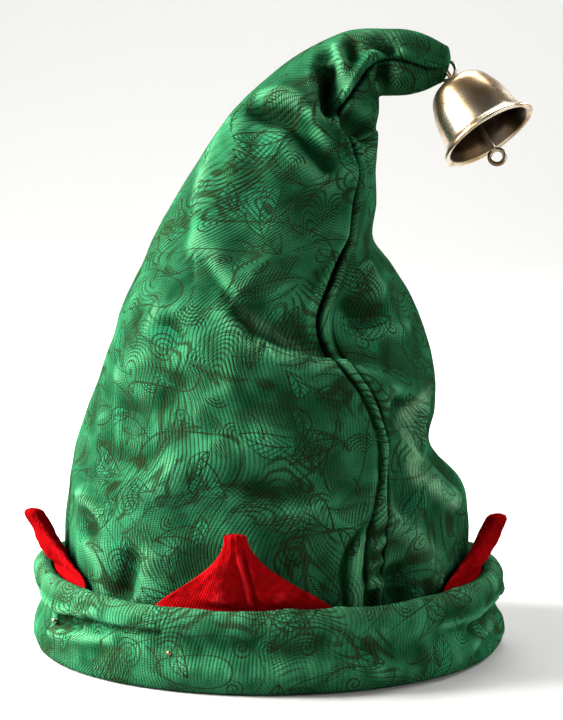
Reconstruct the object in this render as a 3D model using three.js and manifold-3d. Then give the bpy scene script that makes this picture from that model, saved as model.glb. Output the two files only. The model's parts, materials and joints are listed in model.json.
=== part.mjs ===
// An elf hat that stands on its cuff: a tall soft cone of green needlecord whose tip is bent over,
// a padded turned-up cuff, five red cloth points in the pocket behind the cuff, and a brass bell
// on a jump ring through the tip. Millimetres, +Z up, seen from the front along +Y.
import * as THREE from "three";
import { mergeVertices } from "three/addons/utils/BufferGeometryUtils.js";
import Module from "manifold-3d";

const wasm = await Module();
wasm.setup();

// Cloth sizes
const crownRadius = 95; // half the crown's width where it leaves the cuff
const crownHeight = 283.5; // from the crown's hem to its top
const crownWall = 2;
const tipSolid = 8; // length of the tip that is stitched together
const pocketWidth = 6.2; // between crown and cuff, where the points stand
const cuffHeight = 40;
const cuffWall = 5.4; // at the crease, its thinnest place
const footThickness = 4; // the cuff's fold under the crown
const footReach = 3.5; // how far that fold reaches in past the crown's wall
const footRounding = 1.2; // on that fold's edges
const gap = 0.3; // between pieces that touch

// Sizes of the red points
const pointHeight = 33; // above the cuff's rim
const pointHalfWidth = 38.5;
const pointThickness = 8;
const pointFlatThickness = 4.4; // inside the pocket
const pointLean = 12.5; // how far a tip stands out from the pocket
const pointEdge = 0.44; // thickness at the sides as a share of that in the middle
const flatPower = 8; // how square a point's section is in the pocket
const ridgePower = 1.2; // and how sharp its middle ridge is higher up
const ridgeRise = 0.25; // share of pointHeight at which the ridge is full

// Brass sizes
const bellHeight = 32.6;
const bellRadius = 23.4;
const bellWall = 1.2;
const eyeWire = 1.8;
const eyeWidth = 7;
const eyeHeight = 7.6; // above the bell's flat top
const eyeShift = -0.4; // how far the jump ring's middle lies beside the eye's
const barWire = 2.4; // the cross bar inside the bell
const barDrop = 5; // from the inside of the bell's top to the bar
const barSpan = 7.7; // between the middles of the two legs that hold the bar
const barEnd = 1; // how far the bar stands out past each leg
const legWire = 2;
const runningGap = 0.4; // round the bar in the clapper's eye
const clapperReach = 10.3; // from the mouth to the middle of the clapper's lower eye
const clapperStem = 3.2;
const clapperStemTop = 2.4;
const clapperTopWire = 1.9;
const clapperEye = 9.1;
const clapperHole = 4.8;
const clapperSwing = THREE.MathUtils.degToRad(3.5); // from the bell's axis, down towards its low side
const ringWire = 1.6;
const ringRoom = 2.4; // between the ring and the top of the bell's eye
const ringBite = 3.9; // how deep the ring's middle line passes inside the tip
const ringDrop = 2.5; // how far the ring's middle lies below the tip's middle
const bellTiltSide = THREE.MathUtils.degToRad(33.2); // the bell leans out to the right
const bellTiltFront = THREE.MathUtils.degToRad(23); // and its mouth turns to the front
const studWidth = 2.3;
const studPin = 0.8;
const studPinLength = 3;
const studLift = 0.6; // from the cloth to the head's flat underside

// Numbers of faces
const columns = 48;
const frontDetail = 0.25; // how much closer the crown's columns are in front than behind
const crownRows = 28;
const pointRows = 10;
const pointSteps = 8; // across a point's width
const bellFaces = 24;
const studFaces = 12;
const barFaces = 10;
const wireFaces = 6; // round a ring's wire
const ringFaces = 20;
const clapperEyeFaces = 16;
const eyeSteps = 14; // along the staple on the bell's top

const foldSpread = 0.4; // how far the folds fade out towards the crown's two sides
const weldDistance = 0.001; // corners closer together than this are one

// What follows from the sizes
const hemHeight = footThickness + gap;
const pocketMiddle = crownRadius + pocketWidth / 2;
const cuffInner = crownRadius + pocketWidth;
const ringWidth = eyeHeight + ringRoom + ringWire - gap;

// The crown's outline, one row for each section from hem to tip. out is the side away from the
// bend and in is the side towards it. X, front and back are shares of crownRadius, Z of crownHeight.
const crownSections = [
  { outX: -1.0, outZ: 0.0, inX: 1.0, inZ: 0.0, front: 1.0, back: 1.0 },
  { outX: -1.0, outZ: 0.06, inX: 1.0, inZ: 0.06, front: 1.0, back: 1.0 },
  { outX: -1.005, outZ: 0.122, inX: 1.005, inZ: 0.122, front: 1.0, back: 1.0 },
  { outX: -1.0, outZ: 0.196, inX: 0.99, inZ: 0.196, front: 0.99, back: 0.99 },
  { outX: -0.98, outZ: 0.257, inX: 0.95, inZ: 0.257, front: 0.96, back: 0.96 },
  { outX: -0.95, outZ: 0.317, inX: 0.8, inZ: 0.317, front: 0.93, back: 0.92 },
  { outX: -0.89, outZ: 0.377, inX: 0.82, inZ: 0.377, front: 0.88, back: 0.86 },
  { outX: -0.82, outZ: 0.437, inX: 0.82, inZ: 0.437, front: 0.83, back: 0.8 },
  { outX: -0.76, outZ: 0.497, inX: 0.78, inZ: 0.497, front: 0.76, back: 0.74 },
  { outX: -0.7, outZ: 0.556, inX: 0.71, inZ: 0.556, front: 0.69, back: 0.68 },
  { outX: -0.62, outZ: 0.616, inX: 0.6, inZ: 0.616, front: 0.61, back: 0.6 },
  { outX: -0.56, outZ: 0.66, inX: 0.51, inZ: 0.66, front: 0.55, back: 0.53 },
  { outX: -0.47, outZ: 0.714, inX: 0.53, inZ: 0.714, front: 0.49, back: 0.48 },
  { outX: -0.36, outZ: 0.773, inX: 0.53, inZ: 0.773, front: 0.43, back: 0.42 },
  { outX: -0.26, outZ: 0.827, inX: 0.54, inZ: 0.827, front: 0.38, back: 0.37 },
  { outX: -0.16, outZ: 0.87, inX: 0.53, inZ: 0.838, front: 0.33, back: 0.32 },
  { outX: -0.04, outZ: 0.909, inX: 0.54, inZ: 0.862, front: 0.28, back: 0.28 },
  { outX: 0.11, outZ: 0.948, inX: 0.54, inZ: 0.882, front: 0.23, back: 0.23 },
  { outX: 0.26, outZ: 0.978, inX: 0.54, inZ: 0.89, front: 0.19, back: 0.2 },
  { outX: 0.42, outZ: 0.996, inX: 0.55, inZ: 0.896, front: 0.165, back: 0.17 },
  { outX: 0.57, outZ: 0.998, inX: 0.595, inZ: 0.898, front: 0.15, back: 0.15 },
  { outX: 0.69, outZ: 0.99, inX: 0.685, inZ: 0.899, front: 0.135, back: 0.135 },
  { outX: 0.79, outZ: 0.977, inX: 0.765, inZ: 0.906, front: 0.11, back: 0.11 },
  { outX: 0.866, outZ: 0.966, inX: 0.832, inZ: 0.914, front: 0.08, back: 0.08 },
];

// The crown's folds as they are seen from the front or from the back: ridges have a depth above
// zero and dents one below it. path holds x as a share of crownRadius and z of crownHeight;
// width and depth are shares of crownRadius. side is -1 in front and 1 behind.
const crownFolds = [
  { side: -1, width: 0.06, depth: -0.12, path: [[0.27, 0.945], [0.31, 0.905], [0.31, 0.87]] },
  { side: -1, width: 0.05, depth: 0.05, path: [[0.5, 0.965], [0.41, 0.93], [0.37, 0.88]] },
  { side: -1, width: 0.065, depth: -0.08, path: [[0.56, 0.93], [0.565, 0.915]] },
  { side: -1, width: 0.06, depth: -0.05, path: [[0.38, 0.865], [0.56, 0.815]] },
  { side: -1, width: 0.12, depth: -0.06, path: [[-0.08, 0.847], [0.11, 0.809], [0.3, 0.761]] },
  { side: -1, width: 0.07, depth: -0.05, path: [[0.25, 0.785], [0.36, 0.73]] },
  { side: -1, width: 0.07, depth: -0.08, path: [[0.42, 0.76], [0.37, 0.65], [0.25, 0.55], [0.24, 0.51]] },
  { side: -1, width: 0.08, depth: 0.04, path: [[0.28, 0.49], [0.36, 0.46], [0.46, 0.41], [0.5, 0.35]] },
  { side: -1, width: 0.12, depth: -0.08, path: [[0.02, 0.575], [0.18, 0.53]] },
  { side: -1, width: 0.1, depth: 0.05, path: [[0.0, 0.53], [0.28, 0.455]] },
  { side: -1, width: 0.09, depth: 0.05, path: [[-0.38, 0.72], [-0.5, 0.63], [-0.6, 0.56], [-0.75, 0.45]] },
  { side: -1, width: 0.15, depth: -0.07, path: [[-0.33, 0.445], [-0.18, 0.395]] },
  { side: -1, width: 0.08, depth: 0.05, path: [[0.56, 0.65], [0.58, 0.6], [0.5, 0.55]] },
  { side: -1, width: 0.08, depth: 0.06, path: [[0.73, 0.47], [0.65, 0.41], [0.68, 0.36], [0.84, 0.29]] },
  { side: -1, width: 0.09, depth: -0.05, path: [[0.62, 0.3], [0.6, 0.2]] },
  { side: -1, width: 0.11, depth: -0.035, path: [[-0.3, 0.29], [0.34, 0.285]] },
  { side: -1, width: 0.1, depth: -0.05, path: [[-0.8, 0.26], [-0.66, 0.19]] },
  { side: 1, width: 0.12, depth: -0.08, path: [[-0.1, 0.84], [0.14, 0.79], [0.36, 0.77]] },
  { side: 1, width: 0.1, depth: -0.06, path: [[0.46, 0.9], [0.28, 0.87]] },
  { side: 1, width: 0.13, depth: 0.06, path: [[-0.3, 0.66], [-0.12, 0.52], [-0.2, 0.38]] },
  { side: 1, width: 0.13, depth: -0.07, path: [[0.1, 0.62], [0.28, 0.54], [0.5, 0.52]] },
  { side: 1, width: 0.14, depth: 0.05, path: [[0.62, 0.46], [0.42, 0.36], [0.36, 0.24]] },
  { side: 1, width: 0.16, depth: -0.06, path: [[-0.58, 0.36], [-0.36, 0.27]] },
];

// The outside of the cuff's section, one row for each point from the floor up and over the rim.
// out is a share of cuffWall measured from the pocket's wall, up of cuffHeight, and dip is how
// far the crease takes the point back in.
const cuffOutside = [
  { out: 0.3, up: 0.0, dip: 0 },
  { out: 1.25, up: 0.03, dip: 0 },
  { out: 1.72, up: 0.11, dip: 0 },
  { out: 1.88, up: 0.21, dip: 0 },
  { out: 1.8, up: 0.32, dip: 0.02 },
  { out: 1.68, up: 0.42, dip: 0.3 },
  { out: 1.6, up: 0.51, dip: 0.56 },
  { out: 1.66, up: 0.61, dip: 0.48 },
  { out: 1.76, up: 0.72, dip: 0.12 },
  { out: 1.74, up: 0.84, dip: 0 },
  { out: 1.4, up: 0.94, dip: 0 },
  { out: 0.84, up: 1.0, dip: 0 },
  { out: 0.28, up: 0.97, dip: 0 },
  { out: 0.0, up: 0.88, dip: 0 },
];

// How the cuff changes round the hat, by the angle in degrees from the front to the right: its
// height, how far it bulges and how deep its crease is, as shares of the section above.
const cuffRound = [
  { angle: 0, height: 0.93, bulge: 0.8, crease: 0.35 },
  { angle: 30, height: 0.94, bulge: 0.84, crease: 0.3 },
  { angle: 60, height: 0.96, bulge: 1.0, crease: 0.6 },
  { angle: 85, height: 0.975, bulge: 1.05, crease: 1.3 },
  { angle: 120, height: 1.0, bulge: 0.97, crease: 0.7 },
  { angle: 165, height: 0.99, bulge: 0.9, crease: 0.5 },
  { angle: 205, height: 1.01, bulge: 0.93, crease: 0.6 },
  { angle: 240, height: 1.03, bulge: 0.96, crease: 0.8 },
  { angle: 275, height: 1.035, bulge: 0.95, crease: 1.3 },
  { angle: 305, height: 0.98, bulge: 0.95, crease: 0.7 },
  { angle: 335, height: 0.94, bulge: 0.82, crease: 0.4 },
];

// A red point's shape, one row for each section. rise is a share of pointHeight above the cuff's
// rim, or below it of the pocket's depth; half is a share of pointHalfWidth, lean of pointLean,
// thick goes from pointFlatThickness at 0 to pointThickness at 1.
const pointSections = [
  { rise: -1.0, half: 0.8, lean: 0.0, thick: -0.5 },
  { rise: -0.9, half: 0.92, lean: 0.0, thick: 0.0 },
  { rise: -0.4, half: 0.99, lean: 0.0, thick: 0.0 },
  { rise: 0.02, half: 1.0, lean: 0.02, thick: 0.0 },
  { rise: 0.14, half: 0.87, lean: 0.1, thick: 0.5 },
  { rise: 0.28, half: 0.71, lean: 0.24, thick: 0.9 },
  { rise: 0.42, half: 0.55, lean: 0.4, thick: 1.0 },
  { rise: 0.56, half: 0.395, lean: 0.56, thick: 1.0 },
  { rise: 0.72, half: 0.235, lean: 0.72, thick: 0.9 },
  { rise: 0.86, half: 0.165, lean: 0.88, thick: 0.75 },
  { rise: 0.95, half: 0.15, lean: 0.97, thick: 0.5 },
  { rise: 1.0, half: 0.09, lean: 1.0, thick: -0.3 },
];

// Where the points stand, by the angle in degrees from the front to the right. height, lean, width
// and thick are shares of the shape above, and slant of pointHalfWidth: it moves the tip sideways.
const points = [
  { name: "point_front", angle: -6.3, height: 1.06, lean: 1.0, width: 0.98, thick: 1.0, slant: -0.04 },
  { name: "point_right", angle: 76, height: 0.8, lean: 0.75, width: 0.95, thick: 1.25, slant: 0.05 },
  { name: "point_back_right", angle: 140, height: 0.92, lean: 0.9, width: 0.97, thick: 1.1, slant: 0.08 },
  { name: "point_back_left", angle: -151, height: 0.95, lean: 0.95, width: 0.98, thick: 1.1, slant: -0.06 },
  { name: "point_left", angle: -78, height: 0.79, lean: 0.9, width: 0.95, thick: 1.1, slant: -0.05 },
];

// The bell's outside from the middle of its top to its lip. up is a share of bellHeight above the
// mouth, out of bellRadius; lip marks the rolled edge, which is solid.
const bellProfile = [
  { up: 1.0, out: 0.0 },
  { up: 1.0, out: 0.18 },
  { up: 0.985, out: 0.25 },
  { up: 0.95, out: 0.375 },
  { up: 0.905, out: 0.495 },
  { up: 0.83, out: 0.595 },
  { up: 0.73, out: 0.665 },
  { up: 0.55, out: 0.755 },
  { up: 0.4, out: 0.795 },
  { up: 0.26, out: 0.82 },
  { up: 0.145, out: 0.845 },
  { up: 0.105, out: 0.88, lip: true },
  { up: 0.075, out: 0.94, lip: true },
  { up: 0.045, out: 0.99, lip: true },
  { up: 0.015, out: 1.0, lip: true },
  { up: 0.0, out: 0.975, lip: true },
  { up: 0.0, out: 0.93, lip: true },
  { up: 0.03, out: 0.87, lip: true },
];

// The round head of a small pin, from the middle of its underside to the middle of its top. up and
// out are shares of studWidth.
const studProfile = [
  { up: 0, out: 0 },
  { up: 0, out: 0.5 },
  { up: 0.14, out: 0.46 },
  { up: 0.26, out: 0.3 },
  { up: 0.32, out: 0 },
];

// Small brass pin heads in the cuff: angle in degrees from the front to the right, up as a share
// of cuffHeight.
const studs = [
  { name: "cuff_stud_front", angle: -23, up: 0.44 },
  { name: "cuff_stud_left", angle: -65, up: 0.5 },
];

const materials = {
  greenCord: new THREE.MeshStandardMaterial({ color: 0x1f7048, roughness: 0.9, metalness: 0 }),
  redCloth: new THREE.MeshStandardMaterial({ color: 0xc41a1c, roughness: 0.85, metalness: 0 }),
  brass: new THREE.MeshStandardMaterial({ color: 0x9a8560, roughness: 0.28, metalness: 1 }),
};

// Small helpers

// The value of a table's column at a place between its rows, on a smooth curve through them.
function smoothValue(rows, column, at) {
  const i = Math.min(Math.floor(at), rows.length - 2);
  const [a, b, c, d] = [i - 1, i, i + 1, i + 2].map(
    (k) => rows[THREE.MathUtils.clamp(k, 0, rows.length - 1)][column],
  );
  const t = at - i;
  const ease = t * t * (3 - 2 * t);
  const leaving = ((c - a) / 2) * t * (1 - t) * (1 - t);
  const arriving = ((d - b) / 2) * t * t * (t - 1);
  return b * (1 - ease) + c * ease + leaving + arriving;
}

// The same for a table whose rows go round the hat by their angle in degrees.
function roundValue(rows, column, degrees) {
  const turn = THREE.MathUtils.euclideanModulo(degrees, 360);
  const i = rows.findLastIndex((row) => row.angle <= turn);
  const next = rows[(i + 1) % rows.length];
  const span = (next.angle > rows[i].angle ? next.angle : next.angle + 360) - rows[i].angle;
  const t = THREE.MathUtils.smoothstep((turn - rows[i].angle) / span, 0, 1);
  return THREE.MathUtils.lerp(rows[i][column], next[column], t);
}

// A point at a radius and height, by the angle from the front to the right.
function roundPoint(radius, angle, height) {
  return new THREE.Vector3(radius * Math.sin(angle), -radius * Math.cos(angle), height);
}

// A closed surface through rings of points. A ring of one point closes the surface there, and
// where neither end is a single point the last ring joins the first.
function loft(rings) {
  const starts = [];
  let count = 0;
  rings.forEach((ring) => {
    starts.push(count);
    count += ring.length;
  });
  const sides = Math.max(...rings.map((ring) => ring.length));
  const index = [];
  const bands = rings[0].length > 1 ? rings.length : rings.length - 1;
  for (let i = 0; i < bands; i++) {
    const k = (i + 1) % rings.length;
    const at = (ring, j) => starts[ring] + (rings[ring].length > 1 ? j % sides : 0);
    for (let j = 0; j < sides; j++) {
      if (rings[i].length > 1) index.push(at(i, j), at(i, j + 1), at(k, j + 1));
      if (rings[k].length > 1) index.push(at(i, j), at(k, j + 1), at(k, j));
    }
  }
  const geometry = new THREE.BufferGeometry().setFromPoints(rings.flat());
  geometry.setIndex(index);
  return geometry;
}

function middleOf(ring) {
  return ring.reduce((sum, p) => sum.add(p), new THREE.Vector3()).divideScalar(ring.length);
}

function solidOf(geometry) {
  const bare = geometry.clone();
  bare.deleteAttribute("normal");
  bare.deleteAttribute("uv");
  const merged = mergeVertices(bare, weldDistance);
  return new wasm.Manifold(
    new wasm.Mesh({
      numProp: 3,
      vertProperties: new Float32Array(merged.attributes.position.array),
      triVerts: new Uint32Array(merged.index.array),
    }),
  );
}

function geometryOf(solid) {
  const mesh = solid.getMesh();
  const geometry = new THREE.BufferGeometry();
  geometry.setAttribute("position", new THREE.BufferAttribute(mesh.vertProperties, 3));
  geometry.setIndex(new THREE.BufferAttribute(mesh.triVerts, 1));
  return geometry;
}

function joined(...geometries) {
  const [first, ...others] = geometries.map(solidOf);
  return geometryOf(others.reduce((sum, next) => sum.add(next), first));
}

function cut(body, ...tools) {
  return geometryOf(tools.map(solidOf).reduce((rest, tool) => rest.subtract(tool), solidOf(body)));
}

function named(name, geometry, material) {
  const mesh = new THREE.Mesh(geometry, material);
  mesh.name = name;
  geometry.computeVertexNormals();
  return mesh;
}

// The crown

// One section of the crown: its middle, the direction from the middle to the bend's side, and
// its half widths.
function crownSection(at) {
  const value = (column) => smoothValue(crownSections, column, at);
  const out = new THREE.Vector3(value("outX") * crownRadius, 0, hemHeight + value("outZ") * crownHeight);
  const inner = new THREE.Vector3(value("inX") * crownRadius, 0, hemHeight + value("inZ") * crownHeight);
  return {
    middle: out.clone().add(inner).multiplyScalar(0.5),
    across: inner.clone().sub(out).normalize(),
    half: inner.distanceTo(out) / 2,
    front: value("front") * crownRadius,
    back: value("back") * crownRadius,
  };
}

// How near a point is to a fold's path, seen from the front.
function distanceToPath(path, x, z) {
  const corners = path.map(
    ([shareX, shareZ]) => new THREE.Vector2(shareX * crownRadius, hemHeight + shareZ * crownHeight),
  );
  const distances = corners.slice(1).map((to, i) => {
    const along = to.clone().sub(corners[i]);
    const point = new THREE.Vector2(x, z).sub(corners[i]);
    const t = THREE.MathUtils.clamp(point.dot(along) / along.lengthSq(), 0, 1);
    return point.distanceTo(along.multiplyScalar(t));
  });
  return Math.min(...distances);
}

// How far the folds push the cloth out at a point, by how much the point faces front or back.
function foldDepth(point, facing) {
  return crownFolds.reduce((sum, fold) => {
    const near = distanceToPath(fold.path, point.x, point.z) / (fold.width * crownRadius);
    const weight = THREE.MathUtils.smoothstep(facing * fold.side, 0, foldSpread);
    return sum + fold.depth * crownRadius * weight * Math.exp(-near * near);
  }, 0);
}

// One ring of the crown, set in by a distance from the cloth's outside.
function crownRing(at, inset) {
  const { middle, across, half, front, back } = crownSection(at);
  return Array.from({ length: columns }, (_, i) => {
    const even = (2 * Math.PI * i) / columns;
    const angle = even - frontDetail * Math.cos(even);
    const depth = Math.sin(angle) > 0 ? back : front;
    const normal = across.clone().multiplyScalar(Math.cos(angle) / half);
    normal.y = Math.sin(angle) / depth;
    normal.normalize();
    const point = middle.clone().addScaledVector(across, half * Math.cos(angle));
    point.y += depth * Math.sin(angle);
    return point.addScaledVector(normal, foldDepth(point, Math.sin(angle)) - inset);
  });
}

// The tip's end: its middle, and the direction in which it points.
function crownTip() {
  const last = crownSections.length - 1;
  const middle = crownSection(last).middle;
  return { middle, along: middle.clone().sub(crownSection(last - 1).middle).normalize() };
}

function makeCrown(ringHole) {
  const last = crownSections.length - 1;
  const places = Array.from({ length: crownRows + 1 }, (_, i) => (last * i) / crownRows);
  const tip = crownTip();
  const outside = places.map((at) => crownRing(at, 0));
  const inside = places
    .filter((at) => crownSection(at).middle.distanceTo(tip.middle) > tipSolid)
    .map((at) => crownRing(at, crownWall));
  const ends = [[middleOf(outside.at(-1))], [middleOf(inside.at(-1))]];
  return cut(loft([...outside, ...ends, ...inside.reverse()]), ringHole);
}

// The cuff

// The cuff's outer side at an angle, as points of radius and height.
function cuffSection(angle) {
  const value = (column) => roundValue(cuffRound, column, THREE.MathUtils.radToDeg(angle));
  const [height, bulge, crease] = ["height", "bulge", "crease"].map(value);
  return cuffOutside.map(({ out, up, dip }) => {
    const swollen = out > 1 ? 1 + (out - 1) * bulge : out;
    const radius = cuffInner + (swollen - dip * crease) * cuffWall;
    return new THREE.Vector2(radius, up * height * cuffHeight);
  });
}

// The cuff's outer radius at an angle and height.
function cuffRadiusAt(angle, height) {
  const section = cuffSection(angle);
  const i = section.findIndex((p, k) => k > 0 && p.y > height);
  const t = (height - section[i - 1].y) / (section[i].y - section[i - 1].y);
  return THREE.MathUtils.lerp(section[i - 1].x, section[i].x, t);
}

function makeCuff(pinHoles) {
  const footInner = crownRadius - crownWall - footReach;
  const rings = [];
  for (let i = 0; i < columns; i++) {
    const angle = (-2 * Math.PI * i) / columns;
    const foot = [
      new THREE.Vector2(footInner, footRounding),
      new THREE.Vector2(footInner + footRounding, 0),
    ];
    const pocket = [
      new THREE.Vector2(cuffInner, footThickness + footRounding),
      new THREE.Vector2(cuffInner - footRounding, footThickness),
      new THREE.Vector2(footInner + footRounding, footThickness),
      new THREE.Vector2(footInner, footThickness - footRounding),
    ];
    const section = [...foot, ...cuffSection(angle), ...pocket];
    rings.push(section.map((p) => roundPoint(p.x, angle, p.y)));
  }
  return cut(loft(rings), ...pinHoles);
}

// The red points

// One section of a point: the outer face from left to right, then the inner face back.
function pointRing(point, at) {
  const angle = THREE.MathUtils.degToRad(point.angle);
  const value = (column) => smoothValue(pointSections, column, at);
  const rim = cuffHeight * roundValue(cuffRound, "height", point.angle);
  const depth = rim - footThickness - gap;
  const rise = value("rise");
  const height = rim + rise * (rise > 0 ? pointHeight * point.height : depth);
  const half = value("half") * pointHalfWidth * point.width;
  const radius = pocketMiddle + value("lean") * pointLean * point.lean;
  const thick = THREE.MathUtils.lerp(pointFlatThickness, pointThickness * point.thick, value("thick"));
  const shift = Math.max(rise, 0) * point.slant * pointHalfWidth;
  const middle = roundPoint(radius, angle, height);
  const outward = roundPoint(1, angle, 0);
  const sideways = new THREE.Vector3(Math.cos(angle), Math.sin(angle), 0);
  const place = (share, offset) => {
    const side = share * half + shift;
    const bow = (side * side) / (2 * pocketMiddle);
    return middle.clone().addScaledVector(sideways, side).addScaledVector(outward, offset - bow);
  };
  const power = THREE.MathUtils.lerp(flatPower, ridgePower, THREE.MathUtils.clamp(rise / ridgeRise, 0, 1));
  const swell = (share) => (thick / 2) * (1 - (1 - pointEdge) * Math.abs(share) ** power);
  const faces = Array.from({ length: pointSteps + 1 }, (_, i) => (2 * i) / pointSteps - 1);
  const outer = faces.map((share) => place(share, swell(share)));
  const inner = faces.slice(1, -1).map((share) => place(-share, -swell(share)));
  return [...outer, ...inner];
}

function makePoint(point) {
  const last = pointSections.length - 1;
  const rings = Array.from({ length: pointRows + 1 }, (_, i) => pointRing(point, (last * i) / pointRows));
  return loft([[middleOf(rings[0])], ...rings, [middleOf(rings.at(-1))]]);
}

// The bell and what hangs in it. All are made upright, with the mouth at height 0 and the
// clapper's hinge along Y, and tilted together.
const barHeight = bellHeight - bellWall - barDrop;
const ringMiddle = bellHeight + gap + ringWidth / 2;

// A round bar between two points.
function bar(from, to, fromWidth, toWidth = fromWidth) {
  const length = from.distanceTo(to);
  const geometry = new THREE.CylinderGeometry(toWidth / 2, fromWidth / 2, length, barFaces);
  geometry.translate(0, length / 2, 0);
  const turn = new THREE.Quaternion().setFromUnitVectors(
    new THREE.Vector3(0, 1, 0),
    to.clone().sub(from).divideScalar(length),
  );
  return geometry.applyQuaternion(turn).translate(from.x, from.y, from.z);
}

// A wire ring round an axis along Y.
function eyeRing(outerWidth, wire, height, faces) {
  const geometry = new THREE.TorusGeometry((outerWidth - wire) / 2, wire / 2, wireFaces, faces);
  return geometry.rotateX(Math.PI / 2).translate(0, 0, height);
}

function bellShell() {
  const outside = bellProfile.map(({ up, out }) => new THREE.Vector2(out * bellRadius, up * bellHeight));
  const inside = bellProfile
    .filter((row) => !row.lip && row.out > 0)
    .map(({ up, out }) => new THREE.Vector2(out * bellRadius - bellWall, up * (bellHeight - bellWall)))
    .reverse();
  const profile = [...outside, ...inside, new THREE.Vector2(0, bellHeight - bellWall)];
  return new THREE.LatheGeometry(profile.reverse(), bellFaces).rotateX(Math.PI / 2);
}

// The staple on the bell's top that the jump ring passes through.
function topEye() {
  const side = (eyeWidth - eyeWire) / 2;
  const arcHeight = bellHeight + eyeHeight - eyeWire / 2 - side;
  const arc = [0, 30, 60, 90, 120, 150, 180].map((degrees) => {
    const turn = THREE.MathUtils.degToRad(degrees);
    return new THREE.Vector3(0, -side * Math.cos(turn), arcHeight + side * Math.sin(turn));
  });
  const foot = bellHeight - bellWall / 2;
  const path = new THREE.CatmullRomCurve3([
    new THREE.Vector3(0, -side, foot),
    ...arc,
    new THREE.Vector3(0, side, foot),
  ]);
  const section = new THREE.Shape().absarc(0, 0, eyeWire / 2, 0, 2 * Math.PI);
  return new THREE.ExtrudeGeometry(section, { steps: eyeSteps, extrudePath: path, curveSegments: 4 });
}

function makeBell() {
  const legTop = bellHeight - bellWall / 2;
  const legs = [-barSpan / 2, barSpan / 2].map((y) =>
    bar(new THREE.Vector3(0, y, barHeight), new THREE.Vector3(0, y, legTop), legWire),
  );
  const half = barSpan / 2 + barEnd;
  const cross = bar(new THREE.Vector3(0, -half, barHeight), new THREE.Vector3(0, half, barHeight), barWire);
  return joined(bellShell(), topEye(), ...legs, cross);
}

function makeClapper() {
  const topEyeWidth = barWire + 2 * runningGap + 2 * clapperTopWire;
  const lowerWire = (clapperEye - clapperHole) / 2;
  const stemTop = barHeight - (barWire / 2 + runningGap + clapperTopWire / 2);
  const stemEnd = -clapperReach + clapperHole / 2 + lowerWire / 2;
  const stem = bar(
    new THREE.Vector3(0, 0, stemEnd),
    new THREE.Vector3(0, 0, stemTop),
    clapperStem,
    clapperStemTop,
  );
  const clapper = joined(
    eyeRing(topEyeWidth, clapperTopWire, barHeight, clapperEyeFaces),
    stem,
    eyeRing(clapperEye, lowerWire, -clapperReach, clapperEyeFaces),
  );
  return clapper.translate(0, 0, -barHeight).rotateY(clapperSwing).translate(0, 0, barHeight);
}

// The bell's group: upright geometry tilted, with the ring's middle beside the tip's end.
function bellPlace() {
  const tip = crownTip();
  const place = new THREE.Group();
  place.rotation.set(-bellTiltFront, -bellTiltSide, 0, "YXZ");
  const beyondTip = (ringWidth - ringWire) / 2 - ringBite;
  const ringCentre = tip.middle.clone().addScaledVector(tip.along, beyondTip);
  ringCentre.z -= ringDrop;
  const ring = new THREE.Vector3(eyeShift, 0, ringMiddle).applyEuler(place.rotation);
  place.position.copy(ringCentre.sub(ring));
  return place;
}

function makeRing() {
  return eyeRing(ringWidth, ringWire, ringMiddle, ringFaces).translate(eyeShift, 0, 0);
}

// The hole that the jump ring makes in the cloth, in the hat's own place.
function ringHole() {
  const place = bellPlace();
  place.updateMatrixWorld(true);
  const hole = eyeRing(ringWidth + 2 * gap, ringWire + 2 * gap, ringMiddle, ringFaces);
  return hole.translate(eyeShift, 0, 0).applyMatrix4(place.matrixWorld);
}

// A pin head on the cuff, seen from outside, or the hole for its pin.
function studPlace({ angle, up }) {
  const turn = THREE.MathUtils.degToRad(angle);
  const height = up * cuffHeight;
  const radius = cuffRadiusAt(turn, height) * Math.cos(Math.PI / columns);
  return { outward: roundPoint(1, turn, 0), surface: roundPoint(radius, turn, height) };
}

function makeStud(stud) {
  const { outward, surface } = studPlace(stud);
  const profile = studProfile.map(
    ({ up, out }) => new THREE.Vector2(out * studWidth, studLift + up * studWidth),
  );
  const turn = new THREE.Quaternion().setFromUnitVectors(new THREE.Vector3(0, 1, 0), outward);
  const dome = new THREE.LatheGeometry(profile, studFaces).applyQuaternion(turn);
  const head = dome.translate(surface.x, surface.y, surface.z);
  const pin = bar(
    surface.clone().addScaledVector(outward, -studPinLength),
    surface.clone().addScaledVector(outward, studLift + studPin / 4),
    studPin,
  );
  return joined(head, pin);
}

function pinHole(stud) {
  const { outward, surface } = studPlace(stud);
  return bar(
    surface.clone().addScaledVector(outward, -studPinLength - gap),
    surface.clone().addScaledVector(outward, cuffWall),
    studPin + 2 * gap,
  );
}

const hat = new THREE.Group();
hat.add(named("crown", makeCrown(ringHole()), materials.greenCord));
hat.add(named("cuff", makeCuff(studs.map(pinHole)), materials.greenCord));
points.forEach((point) => hat.add(named(point.name, makePoint(point), materials.redCloth)));
studs.forEach((stud) => hat.add(named(stud.name, makeStud(stud), materials.brass)));
const bell = bellPlace();
bell.add(named("bell", makeBell(), materials.brass));
bell.add(named("bell_clapper", makeClapper(), materials.brass));
bell.add(named("bell_ring", makeRing(), materials.brass));
hat.add(bell);

// The origin is the middle of the whole hat's box, on the surface that it stands on.
hat.updateMatrixWorld(true);
const box = new THREE.Box3().setFromObject(hat, true);
const centre = box.getCenter(new THREE.Vector3());
hat.position.set(-centre.x, -centre.y, -box.min.z);

export default hat;
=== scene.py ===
# An elf hat of printed green needlecord: a tall bent crown on a padded turned-up cuff, red cloth
# points in the pocket between the two, and a brass bell on a ring at the tip. Metres, +Z up.
import json
import math

import bpy
import numpy as np
from mathutils import Matrix, Vector


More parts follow.
